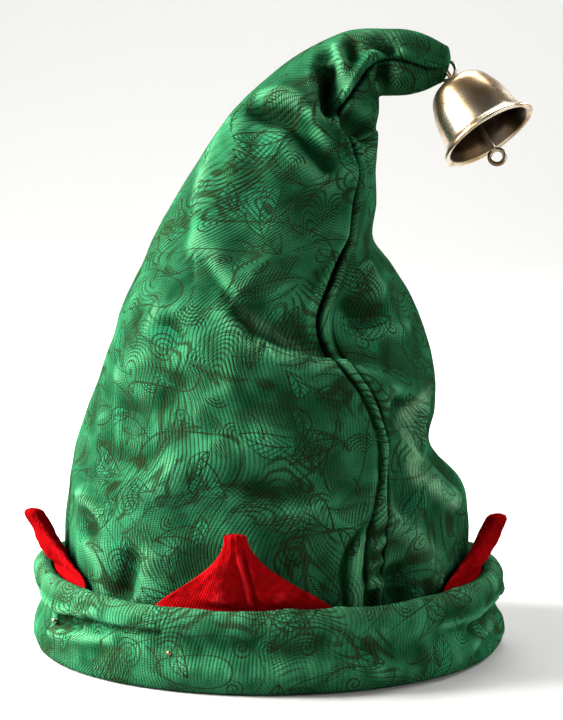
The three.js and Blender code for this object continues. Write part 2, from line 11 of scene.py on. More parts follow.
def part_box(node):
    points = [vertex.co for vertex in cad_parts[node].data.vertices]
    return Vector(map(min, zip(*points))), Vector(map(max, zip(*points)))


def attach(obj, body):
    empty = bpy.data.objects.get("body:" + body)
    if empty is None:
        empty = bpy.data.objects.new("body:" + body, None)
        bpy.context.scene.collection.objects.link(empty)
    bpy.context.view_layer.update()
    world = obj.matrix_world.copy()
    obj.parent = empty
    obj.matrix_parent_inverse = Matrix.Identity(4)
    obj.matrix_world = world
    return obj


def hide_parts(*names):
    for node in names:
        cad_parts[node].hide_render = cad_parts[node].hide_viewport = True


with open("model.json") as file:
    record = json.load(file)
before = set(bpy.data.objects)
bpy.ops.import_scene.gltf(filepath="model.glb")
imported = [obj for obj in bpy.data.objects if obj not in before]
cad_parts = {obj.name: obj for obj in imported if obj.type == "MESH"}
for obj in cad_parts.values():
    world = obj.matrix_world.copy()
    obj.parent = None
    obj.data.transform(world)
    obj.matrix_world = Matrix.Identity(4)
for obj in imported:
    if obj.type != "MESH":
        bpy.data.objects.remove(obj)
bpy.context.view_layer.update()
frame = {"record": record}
hatAxis = (-0.0051069, 0.0007782)  # the middle of the crown's hem and of the cuff
fullTurn = 2 * math.pi


# Working helpers

def deselectAll():
    if bpy.context.mode != "OBJECT":
        bpy.ops.object.mode_set(mode="OBJECT")
    bpy.ops.object.select_all(action="DESELECT")


def takeNewest(name):
    # Names the newest primitive, and puts its place into its mesh
    piece = bpy.context.object
    piece.name = name
    piece.data.name = name
    bpy.ops.object.transform_apply(location=True, rotation=True, scale=True)
    return piece


def selectOnly(*pieces):
    deselectAll()
    for piece in pieces:
        piece.select_set(True)
    bpy.context.view_layer.objects.active = pieces[0]


def joinPieces(*pieces):
    selectOnly(*pieces)
    bpy.ops.object.join()
    return pieces[0]


def applyModifier(piece, kind, **settings):
    modifier = piece.modifiers.new(kind.title(), kind)
    for key, value in settings.items():
        setattr(modifier, key, value)
    selectOnly(piece)
    bpy.ops.object.modifier_apply(modifier=modifier.name)


def placeMesh(piece, matrix):
    # Moves the mesh itself, so that the object stays at the origin
    selectOnly(piece)
    piece.matrix_world = matrix @ piece.matrix_world
    bpy.ops.object.transform_apply(location=True, rotation=True, scale=True)


def mendNormals(piece, distance=0.000005):
    selectOnly(piece)
    bpy.ops.object.mode_set(mode="EDIT")
    bpy.ops.mesh.select_all(action="SELECT")
    bpy.ops.mesh.remove_doubles(threshold=distance)
    bpy.ops.mesh.normals_make_consistent(inside=False)
    bpy.ops.object.mode_set(mode="OBJECT")


def smoothTable(values, at):
    # A smooth curve through a table's column, read between its rows
    values = np.asarray(values, dtype=float)
    row = np.clip(np.floor(at).astype(int), 0, len(values) - 2)
    before, start, end, after = (values[np.clip(row + k, 0, len(values) - 1)] for k in (-1, 0, 1, 2))
    t = at - row
    ease = t * t * (3 - 2 * t)
    leaving = (end - before) / 2 * t * (1 - t) ** 2
    arriving = (after - start) / 2 * t * t * (t - 1)
    return start * (1 - ease) + end * ease + leaving + arriving


def smoothStep(value, low, high):
    t = np.clip((value - low) / (high - low), 0, 1)
    return t * t * (3 - 2 * t)


def softNoise(places, size, seed, waves=20):
    # Waves of about one size in all directions, about 1 high
    random = np.random.default_rng(seed)
    directions = random.normal(size=(waves, places.shape[-1]))
    directions /= np.linalg.norm(directions, axis=1, keepdims=True)
    lengths = size * random.uniform(0.7, 1.6, waves)
    phases = random.uniform(0, fullTurn, waves)
    total = np.zeros(places.shape[:-1])
    for direction, length, phase in zip(directions, lengths, phases):
        total += np.sin(places @ direction * fullTurn / length + phase)
    return total / math.sqrt(waves / 2)


def gridNormals(places):
    # Normals of a lattice of points: rows down the piece, columns round it
    down = np.gradient(places, axis=0)
    wrapped = np.concatenate([places[:, -2:-1], places, places[:, 1:2]], axis=1)
    along = (wrapped[:, 2:] - wrapped[:, :-2]) / 2
    normals = np.cross(along, down)
    lengths = np.linalg.norm(normals, axis=2, keepdims=True)
    return normals / np.maximum(lengths, 1e-12)


def blurred(values, times):
    # Evens out a lattice whose columns go round
    for _ in range(times):
        ring = (np.concatenate([values[:, -2:-1], values[:, :-1]], axis=1)
                + np.concatenate([values[:, 1:], values[:, 1:2]], axis=1)) / 2
        rows = np.concatenate([values[:1], values[:-1]]) + np.concatenate([values[1:], values[-1:]])
        values = (values + ring + rows / 2) / 3
    return values


def makeLattice(name, places, maps, attributes):
    # A grid whose points take the places of a lattice, closed where its sides meet
    rows, columns = places.shape[0] - 1, places.shape[1] - 1
    deselectAll()
    bpy.ops.mesh.primitive_grid_add(x_subdivisions=columns, y_subdivisions=rows, size=1)
    piece = takeNewest(name)
    mesh = piece.data
    count = len(mesh.vertices)
    flat = np.empty(count * 3)
    mesh.vertices.foreach_get("co", flat)
    flat = flat.reshape(count, 3) + 0.5
    column = np.rint(flat[:, 0] * columns).astype(int)
    row = np.rint(flat[:, 1] * rows).astype(int)
    mesh.vertices.foreach_set("co", places[row, column].ravel())
    corner = np.empty(len(mesh.loops), dtype=int)
    mesh.loops.foreach_get("vertex_index", corner)
    for mapName, values in maps.items():
        layer = mesh.uv_layers.get("UVMap") or mesh.uv_layers.new(name=mapName)
        layer.name = mapName
        layer.uv.foreach_set("vector", values[row, column][corner].astype(np.float32).ravel())
    for key, values in attributes.items():
        layer = mesh.attributes.new(key, "FLOAT", "POINT")
        layer.data.foreach_set("value", values[row, column].astype(np.float32).ravel())
    mesh.update()
    mendNormals(piece)
    mesh.shade_smooth()
    return piece


# Materials

class Signal:
    # A socket's value, with the sums that the finishes need
    def __init__(self, finish, socket):
        self.finish = finish
        self.socket = socket

    def math(self, operation, *others):
        return self.finish.node("Math", {"operation": operation}, dict(enumerate([self, *others])))

    def __add__(self, other):
        return self.math("ADD", other)

    def __sub__(self, other):
        return self.math("SUBTRACT", other)

    def __rsub__(self, other):
        return self.finish.node("Math", {"operation": "SUBTRACT"}, {0: other, 1: self})

    def __mul__(self, other):
        return self.math("MULTIPLY", other)

    def __truediv__(self, other):
        return self.math("DIVIDE", other)

    def __pow__(self, other):
        return self.math("POWER", other)

    __radd__ = __add__
    __rmul__ = __mul__

    def size(self):
        return self.math("ABSOLUTE")

    def most(self, other):
        return self.math("MAXIMUM", other)

    def swing(self, height):
        return self.math("PINGPONG", height)

    def between(self, low, high):
        # 0 below low and 1 above high, eased
        settings = {"interpolation_type": "SMOOTHSTEP"}
        return self.finish.node("MapRange", settings, {"Value": self, "From Min": low, "From Max": high})


class Finish:
    def __init__(self, name, **shader):
        self.material = bpy.data.materials.new(name)
        self.material.use_nodes = True
        self.tree = self.material.node_tree
        self.shader = self.tree.nodes["Principled BSDF"]
        for key, value in shader.items():
            self.shader.inputs[key.replace("_", " ")].default_value = value

    def node(self, kind, settings=None, sockets=None, result=0):
        node = self.tree.nodes.new("ShaderNode" + kind)
        for key, value in (settings or {}).items():
            setattr(node, key, value)
        for key, value in (sockets or {}).items():
            if isinstance(value, Signal):
                self.tree.links.new(value.socket, node.inputs[key])
            else:
                node.inputs[key].default_value = value
        return Signal(self, node.outputs[result])

    def attribute(self, name):
        return self.outputs(self.node("Attribute", {"attribute_name": name}))["Fac"]

    def feed(self, socketName, signal):
        self.tree.links.new(signal.socket, self.shader.inputs[socketName])

    def noise(self, where, scale, detail=2, **sockets):
        sockets = {"Vector": where, "Scale": scale, "Detail": detail, **sockets}
        return self.node("TexNoise", None, sockets)

    def mixColour(self, mask, first, second):
        return self.node("Mix", {"data_type": "RGBA"}, {0: mask, 6: first, 7: second}, 2)

    def vector(self, operation, *others):
        return self.node("VectorMath", {"operation": operation}, dict(enumerate(others)))

    def parts(self, where):
        node = self.node("SeparateXYZ", None, {0: where}).socket.node
        return [Signal(self, output) for output in node.outputs]

    def outputs(self, signal):
        return {output.name: Signal(self, output) for output in signal.socket.node.outputs}

    def bump(self, height, distance, strength=1.0):
        return self.node("Bump", None, {"Height": height, "Distance": distance, "Strength": strength})


# The print on the cord: feathers, leaves, shells and curls in two sizes, loose contour lines, and
# patches of grain and of hatching.

motifs = {
    "line": 0.0003,  # half a line's thickness
    "barb": 0.0016, "vein": 0.0033, "arc": 0.0018, "coil": 0.0024, "hatch": 0.0014,  # between lines
    "large": 0.0145, "largePerMetre": 34, "small": 0.0085, "smallPerMetre": 58,  # half a motif's length
    "contours": 9, "grain": 46,  # lines over the full height of their noise
}


def inkStroke(distance, width):
    # Ink where a distance is close to 0
    return 1 - distance.between(width * 0.7, width * 1.5)


def inkLines(phase, pitch):
    # Lines of one thickness where a phase passes a whole number
    return inkStroke(phase.swing(0.5), motifs["line"] / pitch)


def motifLayer(finish, cloth, shift, cellsPerMetre, size):
    # Where the ink lies in one layer of motifs, and where a motif's body is
    shifted = finish.vector("ADD", cloth, (shift, shift * 0.7, 0))
    cells = finish.outputs(finish.node("TexVoronoi", {"voronoi_dimensions": "2D"}, {
        "Vector": shifted, "Scale": cellsPerMetre, "Randomness": 0.8}))
    local = finish.vector("SUBTRACT", shifted, cells["Position"])
    turnBy, kind, spread = finish.parts(cells["Color"])
    local = finish.node("VectorRotate", {"rotation_type": "Z_AXIS"}, {
        "Vector": local, "Angle": turnBy * fullTurn})
    x, y, _ = finish.parts(finish.vector("DIVIDE", local, (size,) * 3))
    line = motifs["line"] / size

    # Feathers and leaves share a shape: a bent shaft, barbs or veins, and an outline
    off = (y - 0.35 * x * x + 0.12).size()
    body = (1 - x * x).most(0)
    isLeaf = kind.between(0.46, 0.461)
    width = body * (0.3 + 0.1 * x) + isLeaf * body * 0.12
    within = body.between(0.0, 0.02)
    inside = (1 - (off - width).between(-line, line)) * within
    slope = x - off * 1.3
    barbs = inkLines(slope * (size / motifs["barb"]), motifs["barb"]) * (1 - isLeaf)
    veins = inkLines(slope * (size / motifs["vein"]), motifs["vein"]) * isLeaf
    shaft = inkStroke(off, line) * within
    edge = inkStroke((off - width).size(), line) * within
    blade = ((barbs + veins) * inside).most(shaft).most(edge * (0.25 + 0.75 * isLeaf))
    # Shells are fans of arcs with a scalloped rim, and curls a spiral line
    reach = (x * x + y * y) ** 0.5
    angle = y.math("ARCTAN2", x)
    lobed = reach + 0.06 * (angle * 9).math("COSINE").size() * reach
    rim = (1 - lobed.between(0.78, 0.8)) * (1 - angle.size().between(1.15, 1.17))
    arcs = inkLines(lobed * (size / motifs["arc"]), motifs["arc"]) * rim
    coil = inkLines(reach * (size / motifs["coil"]) - angle / fullTurn, motifs["coil"])
    coil = coil * (1 - reach.between(0.52, 0.54))
    isRound = kind.between(0.7, 0.701)
    isCurl = kind.between(0.87, 0.871)
    ink = blade * (1 - isRound) + (arcs * (1 - isCurl) + coil * isCurl) * isRound
    filled = inside * (1 - isRound) + rim * isRound
    return ink, filled * spread.between(0.45, 0.6)


def printInk(finish, cloth, shift):
    large, filled = motifLayer(finish, cloth, shift, motifs["largePerMetre"], motifs["large"])
    small, filledToo = motifLayer(finish, cloth, shift + 0.53, motifs["smallPerMetre"], motifs["small"])
    # Loose contour lines, and patches of grain and of hatching
    moved = finish.vector("ADD", cloth, (shift, 0, 0))
    field = finish.noise(moved, 12, 0.6, Distortion=0.4)
    loose = 1 - (field * motifs["contours"]).swing(0.5).between(0.012, 0.032)
    bend = finish.noise(moved, 27, 0.4)
    x, y, _ = finish.parts(moved)
    streaks = finish.noise(moved, 15, 1, Distortion=0.7)
    grain = 1 - (streaks * motifs["grain"]).swing(0.5).between(0.1, 0.26)
    hatch = inkLines((x - y * 0.6 + bend * 0.03) / motifs["hatch"], motifs["hatch"])
    patch = finish.noise(cloth, 22, 1.3)
    fine = (grain * patch.between(0.47, 0.54)).most(hatch * (1 - patch.between(0.37, 0.385)))
    ink = large.most(small).most(loose * 0.9).most(fine * 0.85)
    return ink, filled.most(filledToo)


# Needlecord: ribs with a soft nap, painted shade between the ribs and in dents, a painted highlight
# where the cloth is raised, and paler where rubbed

cordFinish = {
    "pitch": 0.0017, "threads": 0.0011, "slant": 0.0024, "ribDepth": 0.00034,
    "deep": (0.0016, 0.012, 0.004, 1),
    "base": (0.005, 0.044, 0.0165, 1),
    "pale": (0.028, 0.155, 0.068, 1),
    # The pale colour of rubbed nap, also used as a painted highlight on raised crests
    "wearAndHighlight": (0.14, 0.31, 0.165, 1),
    "ink": (0.008, 0.0115, 0.0038, 1),
    "filled": (0.012, 0.145, 0.067, 1),
}


def makeCord(name, shift, bright):
    # shift moves the print, so that crown and cuff aren't alike, and bright is how light the cloth is
    values = cordFinish
    finish = Finish(name, Roughness=0.8, Sheen_Weight=0.03, Sheen_Roughness=0.35,
                    Sheen_Tint=(0.20, 0.95, 0.45, 1), Specular_IOR_Level=0.0)
    cloth = finish.node("UVMap", {"uv_map": "cloth"})
    ribMap = finish.node("UVMap", {"uv_map": "ribs"})
    marks = [finish.attribute(key) for key in ("relief", "paintedSeamShade", "welt", "rubbedHighlight")]
    relief, paintedSeamShade, welt, rubbedHighlight = marks
    ink, filled = printInk(finish, cloth, shift)
    waver = finish.noise(cloth, 38, 2) - 0.5
    across, along, _ = finish.parts(ribMap)
    across = across + waver * 0.003
    wale = 2 * (across / values["pitch"]).swing(0.5)
    roundness = 1 - (1 - wale) ** 2.4
    strand = 2 * ((along + waver * 0.002) / values["threads"]).swing(0.5)
    fuzz = finish.noise(cloth, 1300, 2)
    # The nap is worn in patches, where the threads show more than the wales
    wearAndHighlight = finish.noise(cloth, 26, 2, Distortion=0.4).between(0.42, 0.6)
    # Slanted puckers on the welt beside the seam take the wales' place
    puckers = 2 * ((along + across * 0.8) / values["slant"]).swing(0.5)
    ribbed = roundness * (1 - 0.45 * wearAndHighlight) * (1 - welt) + puckers * welt
    height = ribbed + strand * (0.12 + 0.24 * wearAndHighlight) + (fuzz - 0.5) * 0.3 - ink * 0.35
    finish.feed("Normal", finish.bump(height, values["ribDepth"]))

    patches = finish.noise(cloth, 17, 3, Distortion=0.6)
    blotch = finish.noise(cloth, 62, 3)
    # Painted shade in dents and a painted highlight on raised cloth, through relief, mixed with patches
    # of tone that differ at random
    tone = (relief * 0.6 + (patches - 0.5) * 1.2 + (blotch - 0.5) * 0.9).between(-0.65, 0.75)
    ground = finish.mixColour(tone, values["deep"], values["pale"])
    ground = finish.mixColour(0.35, ground, values["base"])
    # Raised crests get a painted highlight, and the rubbed crests paler nap with a painted highlight
    pale = (relief.between(0.3, 1.5) * 0.16).most(rubbedHighlight * (0.35 + 0.5 * fuzz))
    ground = finish.mixColour(pale, ground, values["wearAndHighlight"])
    ground = finish.mixColour(filled * 0.34, ground, values["filled"])
    faded = finish.noise(cloth, 90, 2).between(0.25, 0.5)
    ground = finish.mixColour(ink * (0.5 + 0.42 * faded) * (1 - 0.5 * rubbedHighlight), ground, values["ink"])
    threads = strand * (0.14 + 0.22 * wearAndHighlight)
    # Painted shade: darker between the wales and along the seam's groove and stitches
    shade = (0.57 + 0.4 * ribbed + threads + (fuzz - 0.5) * 1.1) * bright * (1 - 0.85 * paintedSeamShade)
    shades = finish.node("CombineXYZ", None, {channel: shade for channel in range(3)})
    finish.feed("Base Color", finish.vector("MULTIPLY", ground, shades))
    return finish.material


redFinish = {
    "pitch": 0.0014, "threads": 0.001, "ribDepth": 0.00022,
    "deep": (0.09, 0.0005, 0.0008, 1),
    "base": (0.205, 0.0013, 0.002, 1),
    "napHighlight": (0.36, 0.009, 0.015, 1),
}


def makeRedCord():
    values = redFinish
    finish = Finish("redCord", Roughness=0.85, Specular_IOR_Level=0.0)
    cloth = finish.node("UVMap", {"uv_map": "cloth"})
    relief = finish.attribute("relief")
    waver = finish.noise(cloth, 70, 2) - 0.5
    across, along, _ = finish.parts(cloth)
    wale = 2 * ((across + waver * 0.003) / values["pitch"]).swing(0.5)
    roundness = 1 - (1 - wale) ** 2
    strand = 2 * (along / values["threads"]).swing(0.5)
    fuzz = finish.noise(cloth, 1500, 2)
    height = roundness * (0.75 + 0.25 * strand) + (fuzz - 0.5) * 0.5
    finish.feed("Normal", finish.bump(height, values["ribDepth"]))
    # Painted shade in dents and between the wales; lifted paints a highlight on raised cloth and on the
    # wales' tops
    tone = relief * 0.5 + (finish.noise(cloth, 60, 3) - 0.5) + 0.2 * roundness + (fuzz - 0.5) * 0.5
    ground = finish.mixColour(tone.between(-0.6, 0.6), values["deep"], values["base"])
    lifted = relief.between(0.2, 1) * 0.5 + roundness * (fuzz - 0.4) * 0.6
    finish.feed("Base Color", finish.mixColour(lifted, ground, values["napHighlight"]))
    return finish.material


brassFinish = {
    "bright": (0.52, 0.46, 0.36, 1),
    "tan": (0.40, 0.28, 0.15, 1),
    "patinaAndShade": (0.032, 0.018, 0.009, 1),
}


def makeBrass(name, wear, roughness, cover=0.6):
    # wear says how soon the patina sets in, and cover how thick it gets; set high, the patina covers all
    # as painted shade
    values = brassFinish
    finish = Finish(name, Metallic=1.0)
    place = finish.outputs(finish.node("TexCoord"))["Object"]
    rise = finish.attribute("rise")
    clouds = finish.noise(place, 75, 2)
    specks = finish.noise(place, 1400, 2)
    scratches = finish.noise(finish.node("Mapping", None, {
        "Vector": place, "Rotation": (0.5, 0.3, 0.8), "Scale": (900, 900, 60)}), 1, 2)
    browned = (clouds + rise.between(0.3, 0.9) * 0.26).between(0.36, 0.62)
    tone = finish.mixColour(browned, values["bright"], values["tan"])
    stainAndShade = (clouds * 0.8 + specks * 0.2).between(0.52 - wear, 0.72) * cover
    finish.feed("Base Color", finish.mixColour(stainAndShade, tone, values["patinaAndShade"]))
    finish.feed("Roughness", roughness + 0.05 * specks + 0.1 * stainAndShade)
    finish.feed("Normal", finish.bump(scratches + clouds * 2, 0.000012, 0.4))
    return finish.material


finishes = {
    "crown": makeCord("greenCordCrown", 0.37, 1.1),
    "cuff": makeCord("greenCordCuff", 0.91, 1.5),
    "red": makeRedCord(),
    "brass": makeBrass("polishedBrass", 0.02, 0.25),
    "oldBrass": makeBrass("antiqueBrass", 0.26, 0.26, 0.8),
    # Inside the bell the patina covers nearly all: painted shade in the hollow
    "insideShadeBrass": makeBrass("insidePaintedShadeBrass", 1.1, 0.24, 0.99),
}
print("finishes made")


# Where the red points stand, by degrees from the front to the right, and how each differs from the
# shape in point: shares of its height, lean, width and thickness, a slant sideways, and a crest.

pointPlaces = [
    {"name": "point_front", "angle": -6.3, "height": 1.06, "lean": 1, "width": 0.98, "thick": 1,
     "slant": -0.04, "crest": 1},
    {"name": "point_right", "angle": 76, "height": 0.81, "lean": 0.87, "width": 0.9, "thick": 1.3,
     "slant": 0.05, "crest": 0},
    {"name": "point_back_right", "angle": 140, "height": 0.92, "lean": 0.9, "width": 0.97, "thick": 1.1,
     "slant": 0.08, "crest": 0.8},
    {"name": "point_back_left", "angle": -151, "height": 0.95, "lean": 0.95, "width": 0.98, "thick": 1.1,
     "slant": -0.06, "crest": 0.9},
    {"name": "point_left", "angle": -78, "height": 0.8, "lean": 1, "width": 0.86, "thick": 1.25,
     "slant": -0.05, "crest": 0},
]


# The crown. Its sections run from the hem to the tip as in the frame: out is the side away from
# the bend, in the side towards it, X, front and back are shares of radius, Z of height. seam is
# where the main seam crosses the section, from -1 at its outer end to 1 at its inner end.

crown = {
    "radius": 0.095, "height": 0.2835, "hem": 0.0043, "wall": 0.0019,
    "columns": 292, "seamDetail": 0.6,  # how much closer together the columns are at the seam
    "outsideRows": 262, "capRows": 8, "capLength": 0.003,  # the cap closes the tip
    "insideRows": 64, "insideEnd": 21.4,  # the section where the inside ends
    "stitch": 0.0052, "gathers": 13, "gatherDepth": 0.0022,
    "clearBelow": 0.046,  # no cloth stands out below this height, where the points are
    "panelTurn": 0.88, "panelPast": 0.03, "panelApart": 0.4,  # how the flat panels are cut and laid
    "outX": [-1, -1, -1.005, -1, -0.98, -0.95, -0.89, -0.82, -0.76, -0.7, -0.62, -0.56, -0.47, -0.36,
             -0.26, -0.16, -0.04, 0.11, 0.26, 0.42, 0.57, 0.69, 0.79, 0.866],
    "outZ": [0, 0.06, 0.122, 0.196, 0.257, 0.317, 0.377, 0.437, 0.497, 0.556, 0.616, 0.66, 0.714, 0.773,
             0.827, 0.87, 0.909, 0.948, 0.978, 0.997, 1.0, 0.998, 0.987, 0.973],
    "inX": [1, 1, 1.005, 0.99, 0.95, 0.8, 0.82, 0.82, 0.78, 0.71, 0.6, 0.51, 0.53, 0.53,
            0.54, 0.53, 0.54, 0.54, 0.54, 0.55, 0.595, 0.685, 0.765, 0.832],
    "inZ": [0, 0.06, 0.122, 0.196, 0.257, 0.317, 0.377, 0.437, 0.497, 0.556, 0.616, 0.66, 0.714, 0.773,
            0.827, 0.838, 0.862, 0.881, 0.887, 0.89, 0.89, 0.891, 0.898, 0.909],
    "front": [1, 1, 1, 0.99, 0.96, 0.93, 0.88, 0.83, 0.76, 0.69, 0.61, 0.55, 0.49, 0.43,
              0.38, 0.33, 0.28, 0.23, 0.19, 0.165, 0.15, 0.135, 0.11, 0.08],
    "back": [1, 1, 1, 0.99, 0.96, 0.92, 0.86, 0.8, 0.74, 0.68, 0.6, 0.53, 0.48, 0.42,
             0.37, 0.32, 0.28, 0.23, 0.2, 0.17, 0.15, 0.135, 0.11, 0.08],
    "seam": [0.467, 0.467, 0.465, 0.462, 0.53, 0.69, 0.64, 0.53, 0.385, 0.35, 0.532, 0.73, 0.76, 0.78,
             0.66, 0.53, 0.42, 0.41, 0.35, 0.13, -0.1, 0.0, 0.2, 0.3],
    # The seam's own relief in millimetres: its groove, the ribs of cloth beside it, the line of
    # stitches on its right, and how far off that line runs
    "groove": [2.6, 2.6, 2.4, 2.2, 2, 1.8, 1.8, 2.2, 4, 5.2, 5.6, 5.6, 5.4, 5,
               4.6, 4.2, 3.8, 3.6, 3.4, 3, 2.8, 2.6, 2.4, 1.6],
    "leftRib": [0.8, 1, 1.2, 1, 0.8, 0.6, 0.5, 0.5, 1, 1.4, 1.6, 1.4, 1.2, 1,
                1.2, 2.2, 3.4, 4, 3.8, 3, 1.4, 0.8, 0.6, 0.4],
    "rightRib": [0.8, 0.8, 0.8, 1, 1.6, 2.2, 2.4, 2.2, 1.8, 1.4, 1.4, 1.6, 1.6, 1.4,
                 1, 0.5, 0.2, 0.2, 0.3, 0.4, 0.3, 0.3, 0.3, 0.2],
    "stitches": [1.8, 1.8, 1.8, 1.8, 2, 2.2, 2.2, 2, 1.4, 0.4] + [0] * 14,
    "stitchAt": [11, 11, 11, 10.6, 8.2, 6, 6.2, 6.4, 6.6] + [7] * 15,
}

# Folds as seen from the front and from the back: width and depth in millimetres, how sharp (2 is
# a round swell, 1 a crisp crease), lean (the side on the path's left is that much wider and the
# right one narrower), and a path of shares of the crown's radius and height. A fold starts faint.
frontFolds = [
    (5, -15, 3, 0, [(0.28, 0.949), (0.29, 0.918), (0.31, 0.880)]),  # the deep pocket beside the seam
    (2.4, 2.2, 2, 0, [(0.33, 0.965), (0.36, 0.943)]),
    (3, -4, 2, 0, [(0.41, 0.974), (0.41, 0.957)]),
    (3.2, -6, 2.5, 0, [(0.55, 0.975), (0.59, 0.968)]),  # pits along the tip
    (3.4, -9, 2.5, 0, [(0.56, 0.936), (0.56, 0.913)]),
    (4.6, -9, 2.4, 0, [(0.37, 0.867), (0.43, 0.848), (0.52, 0.825)]),  # the crease under the bend
    # Under the roll
    (5, -7, 1.8, 0, [(-0.10, 0.866), (-0.03, 0.866), (0.08, 0.860), (0.15, 0.846), (0.21, 0.813),
                     (0.28, 0.788)]),
    # The roll below the bend
    (4.5, 4.5, 2, 0, [(-0.12, 0.877), (-0.04, 0.887), (0.08, 0.891), (0.16, 0.880), (0.21, 0.859),
                      (0.25, 0.832), (0.30, 0.804), (0.37, 0.776)]),
    (7, 3, 2, 0, [(-0.06, 0.848), (0.08, 0.821), (0.20, 0.785), (0.32, 0.758)]),
    # The big fold's upper side
    (9, 3, 2, 0, [(-0.15, 0.578), (-0.02, 0.623), (0.15, 0.645), (0.31, 0.669)]),
    # The crease under it
    (9, -7.5, 1.5, 0.6, [(-0.16, 0.572), (-0.12, 0.560), (-0.03, 0.529), (0.15, 0.511), (0.27, 0.497)]),
    (6, 3, 2, 0, [(-0.13, 0.542), (-0.02, 0.510), (0.15, 0.493), (0.26, 0.480)]),
    # The side away from the bend: the shoulder's long swell, and the crest that runs down from it
    (8, 3.4, 2, 0.5, [(-0.13, 0.93), (-0.2, 0.86), (-0.27, 0.79), (-0.31, 0.72), (-0.33, 0.65)]),
    (5, 2.4, 2, 0.5, [(-0.30, 0.665), (-0.21, 0.615), (-0.1, 0.56), (-0.02, 0.52)]),
    (5, 1.5, 2, 0, [(-0.12, 0.878), (-0.14, 0.846), (-0.13, 0.808), (-0.17, 0.761)]),
    (5, 1.2, 2, 0, [(-0.21, 0.553), (-0.17, 0.517), (-0.17, 0.490), (-0.18, 0.443)]),
    (3, 1, 2, 0, [(-0.27, 0.566), (-0.17, 0.550), (-0.09, 0.533)]),
    (5, -2, 2, 0, [(-0.47, 0.535), (-0.44, 0.511)]),
    (6, -3, 2, 0, [(-0.43, 0.455), (-0.49, 0.431)]),
    (8, -2, 2, 0, [(-0.71, 0.408), (-0.59, 0.405)]),
    (7, -2, 2, 0, [(-0.69, 0.337), (-0.57, 0.334)]),
    (4, 1.3, 2, 0, [(-0.51, 0.564), (-0.56, 0.524)]),
    (5, 1.6, 2, 0, [(-0.60, 0.495), (-0.71, 0.449)]),
    # The long swell across the front
    (10, 4, 2, 0, [(-0.61, 0.258), (-0.48, 0.302), (-0.31, 0.343), (-0.15, 0.365), (-0.00, 0.371)]),
    (8, 2.5, 2, 0, [(0.07, 0.252), (0.25, 0.265), (0.39, 0.248)]),
    (6, -2.5, 2, 0, [(-0.11, 0.304), (0.04, 0.289), (0.18, 0.285)]),
    (4, -5, 2, 0, [(-0.63, 0.191), (-0.65, 0.160), (-0.68, 0.123)]),  # gathers low on the left
    (6, 3, 2, 0, [(-0.83, 0.177), (-0.81, 0.118)]),
    (6, 2.5, 2, 0, [(-0.55, 0.182), (-0.54, 0.124)]),
    (4, -3, 2, 0, [(-0.85, 0.227), (-0.84, 0.207)]),
    (3, 2.5, 2, 0, [(-0.92, 0.262), (-0.85, 0.244), (-0.81, 0.235)]),
    (3.5, 3.5, 2, 0, [(0.45, 0.629), (0.48, 0.609), (0.52, 0.585)]),  # the side towards the bend
    (6, -4, 2, 0, [(0.40, 0.574), (0.45, 0.551)]),
    (4, 2, 2, 0, [(0.40, 0.520), (0.51, 0.526), (0.64, 0.524)]),
    (3, 2.5, 2, 0, [(0.57, 0.393), (0.57, 0.417), (0.60, 0.431), (0.67, 0.421)]),  # a small arched fold
    (5, -4, 2, 0, [(0.63, 0.410), (0.65, 0.374)]),
    # Crisp folds at the right edge
    (3.0, 6, 1.5, 0, [(0.79, 0.411), (0.73, 0.391), (0.71, 0.360), (0.75, 0.316), (0.85, 0.272),
                      (0.93, 0.242)]),
    (2.6, 4.5, 1.5, 0, [(0.62, 0.360), (0.66, 0.331), (0.71, 0.310), (0.82, 0.278)]),
    (6, -3, 2, 0, [(0.62, 0.290), (0.64, 0.261)]),
    (3.5, -3, 2, 0, [(0.85, 0.296), (0.85, 0.287)]),
    (5, -6.5, 2, 0, [(0.62, 0.152), (0.63, 0.12)]),  # low on the right
    (3.5, 3.5, 1.6, 0, [(0.57, 0.25), (0.60, 0.235), (0.67, 0.212), (0.745, 0.183), (0.775, 0.15)]),
    # The flap beside the seam's foot, and the pleats on the seam's other side
    (1.5, -3.5, 1.5, 0, [(0.46, 0.245), (0.39, 0.207), (0.36, 0.172), (0.366, 0.131), (0.38, 0.06)]),
    (3.4, 3.6, 2, 0, [(0.44, 0.225), (0.42, 0.195), (0.409, 0.153), (0.415, 0.106), (0.415, 0.05)]),
    (1.6, -2.6, 1.5, 0, [(0.46, 0.232), (0.50, 0.222), (0.53, 0.227)]),
    (1.6, 2.2, 1.5, 0, [(0.47, 0.212), (0.51, 0.203), (0.54, 0.209)]),
    (1.6, -2.6, 1.5, 0, [(0.475, 0.192), (0.51, 0.184), (0.54, 0.188)]),
    (2, 2.4, 2, 0, [(0.48, 0.172), (0.52, 0.178)]),
    (2.5, -4, 2, 0, [(0.52, 0.163), (0.53, 0.158)]),
    (3, 2.4, 2, 0, [(0.48, 0.14), (0.53, 0.142)]),
    (3.4, -6, 2, 0, [(0.505, 0.122), (0.505, 0.108)]),
]
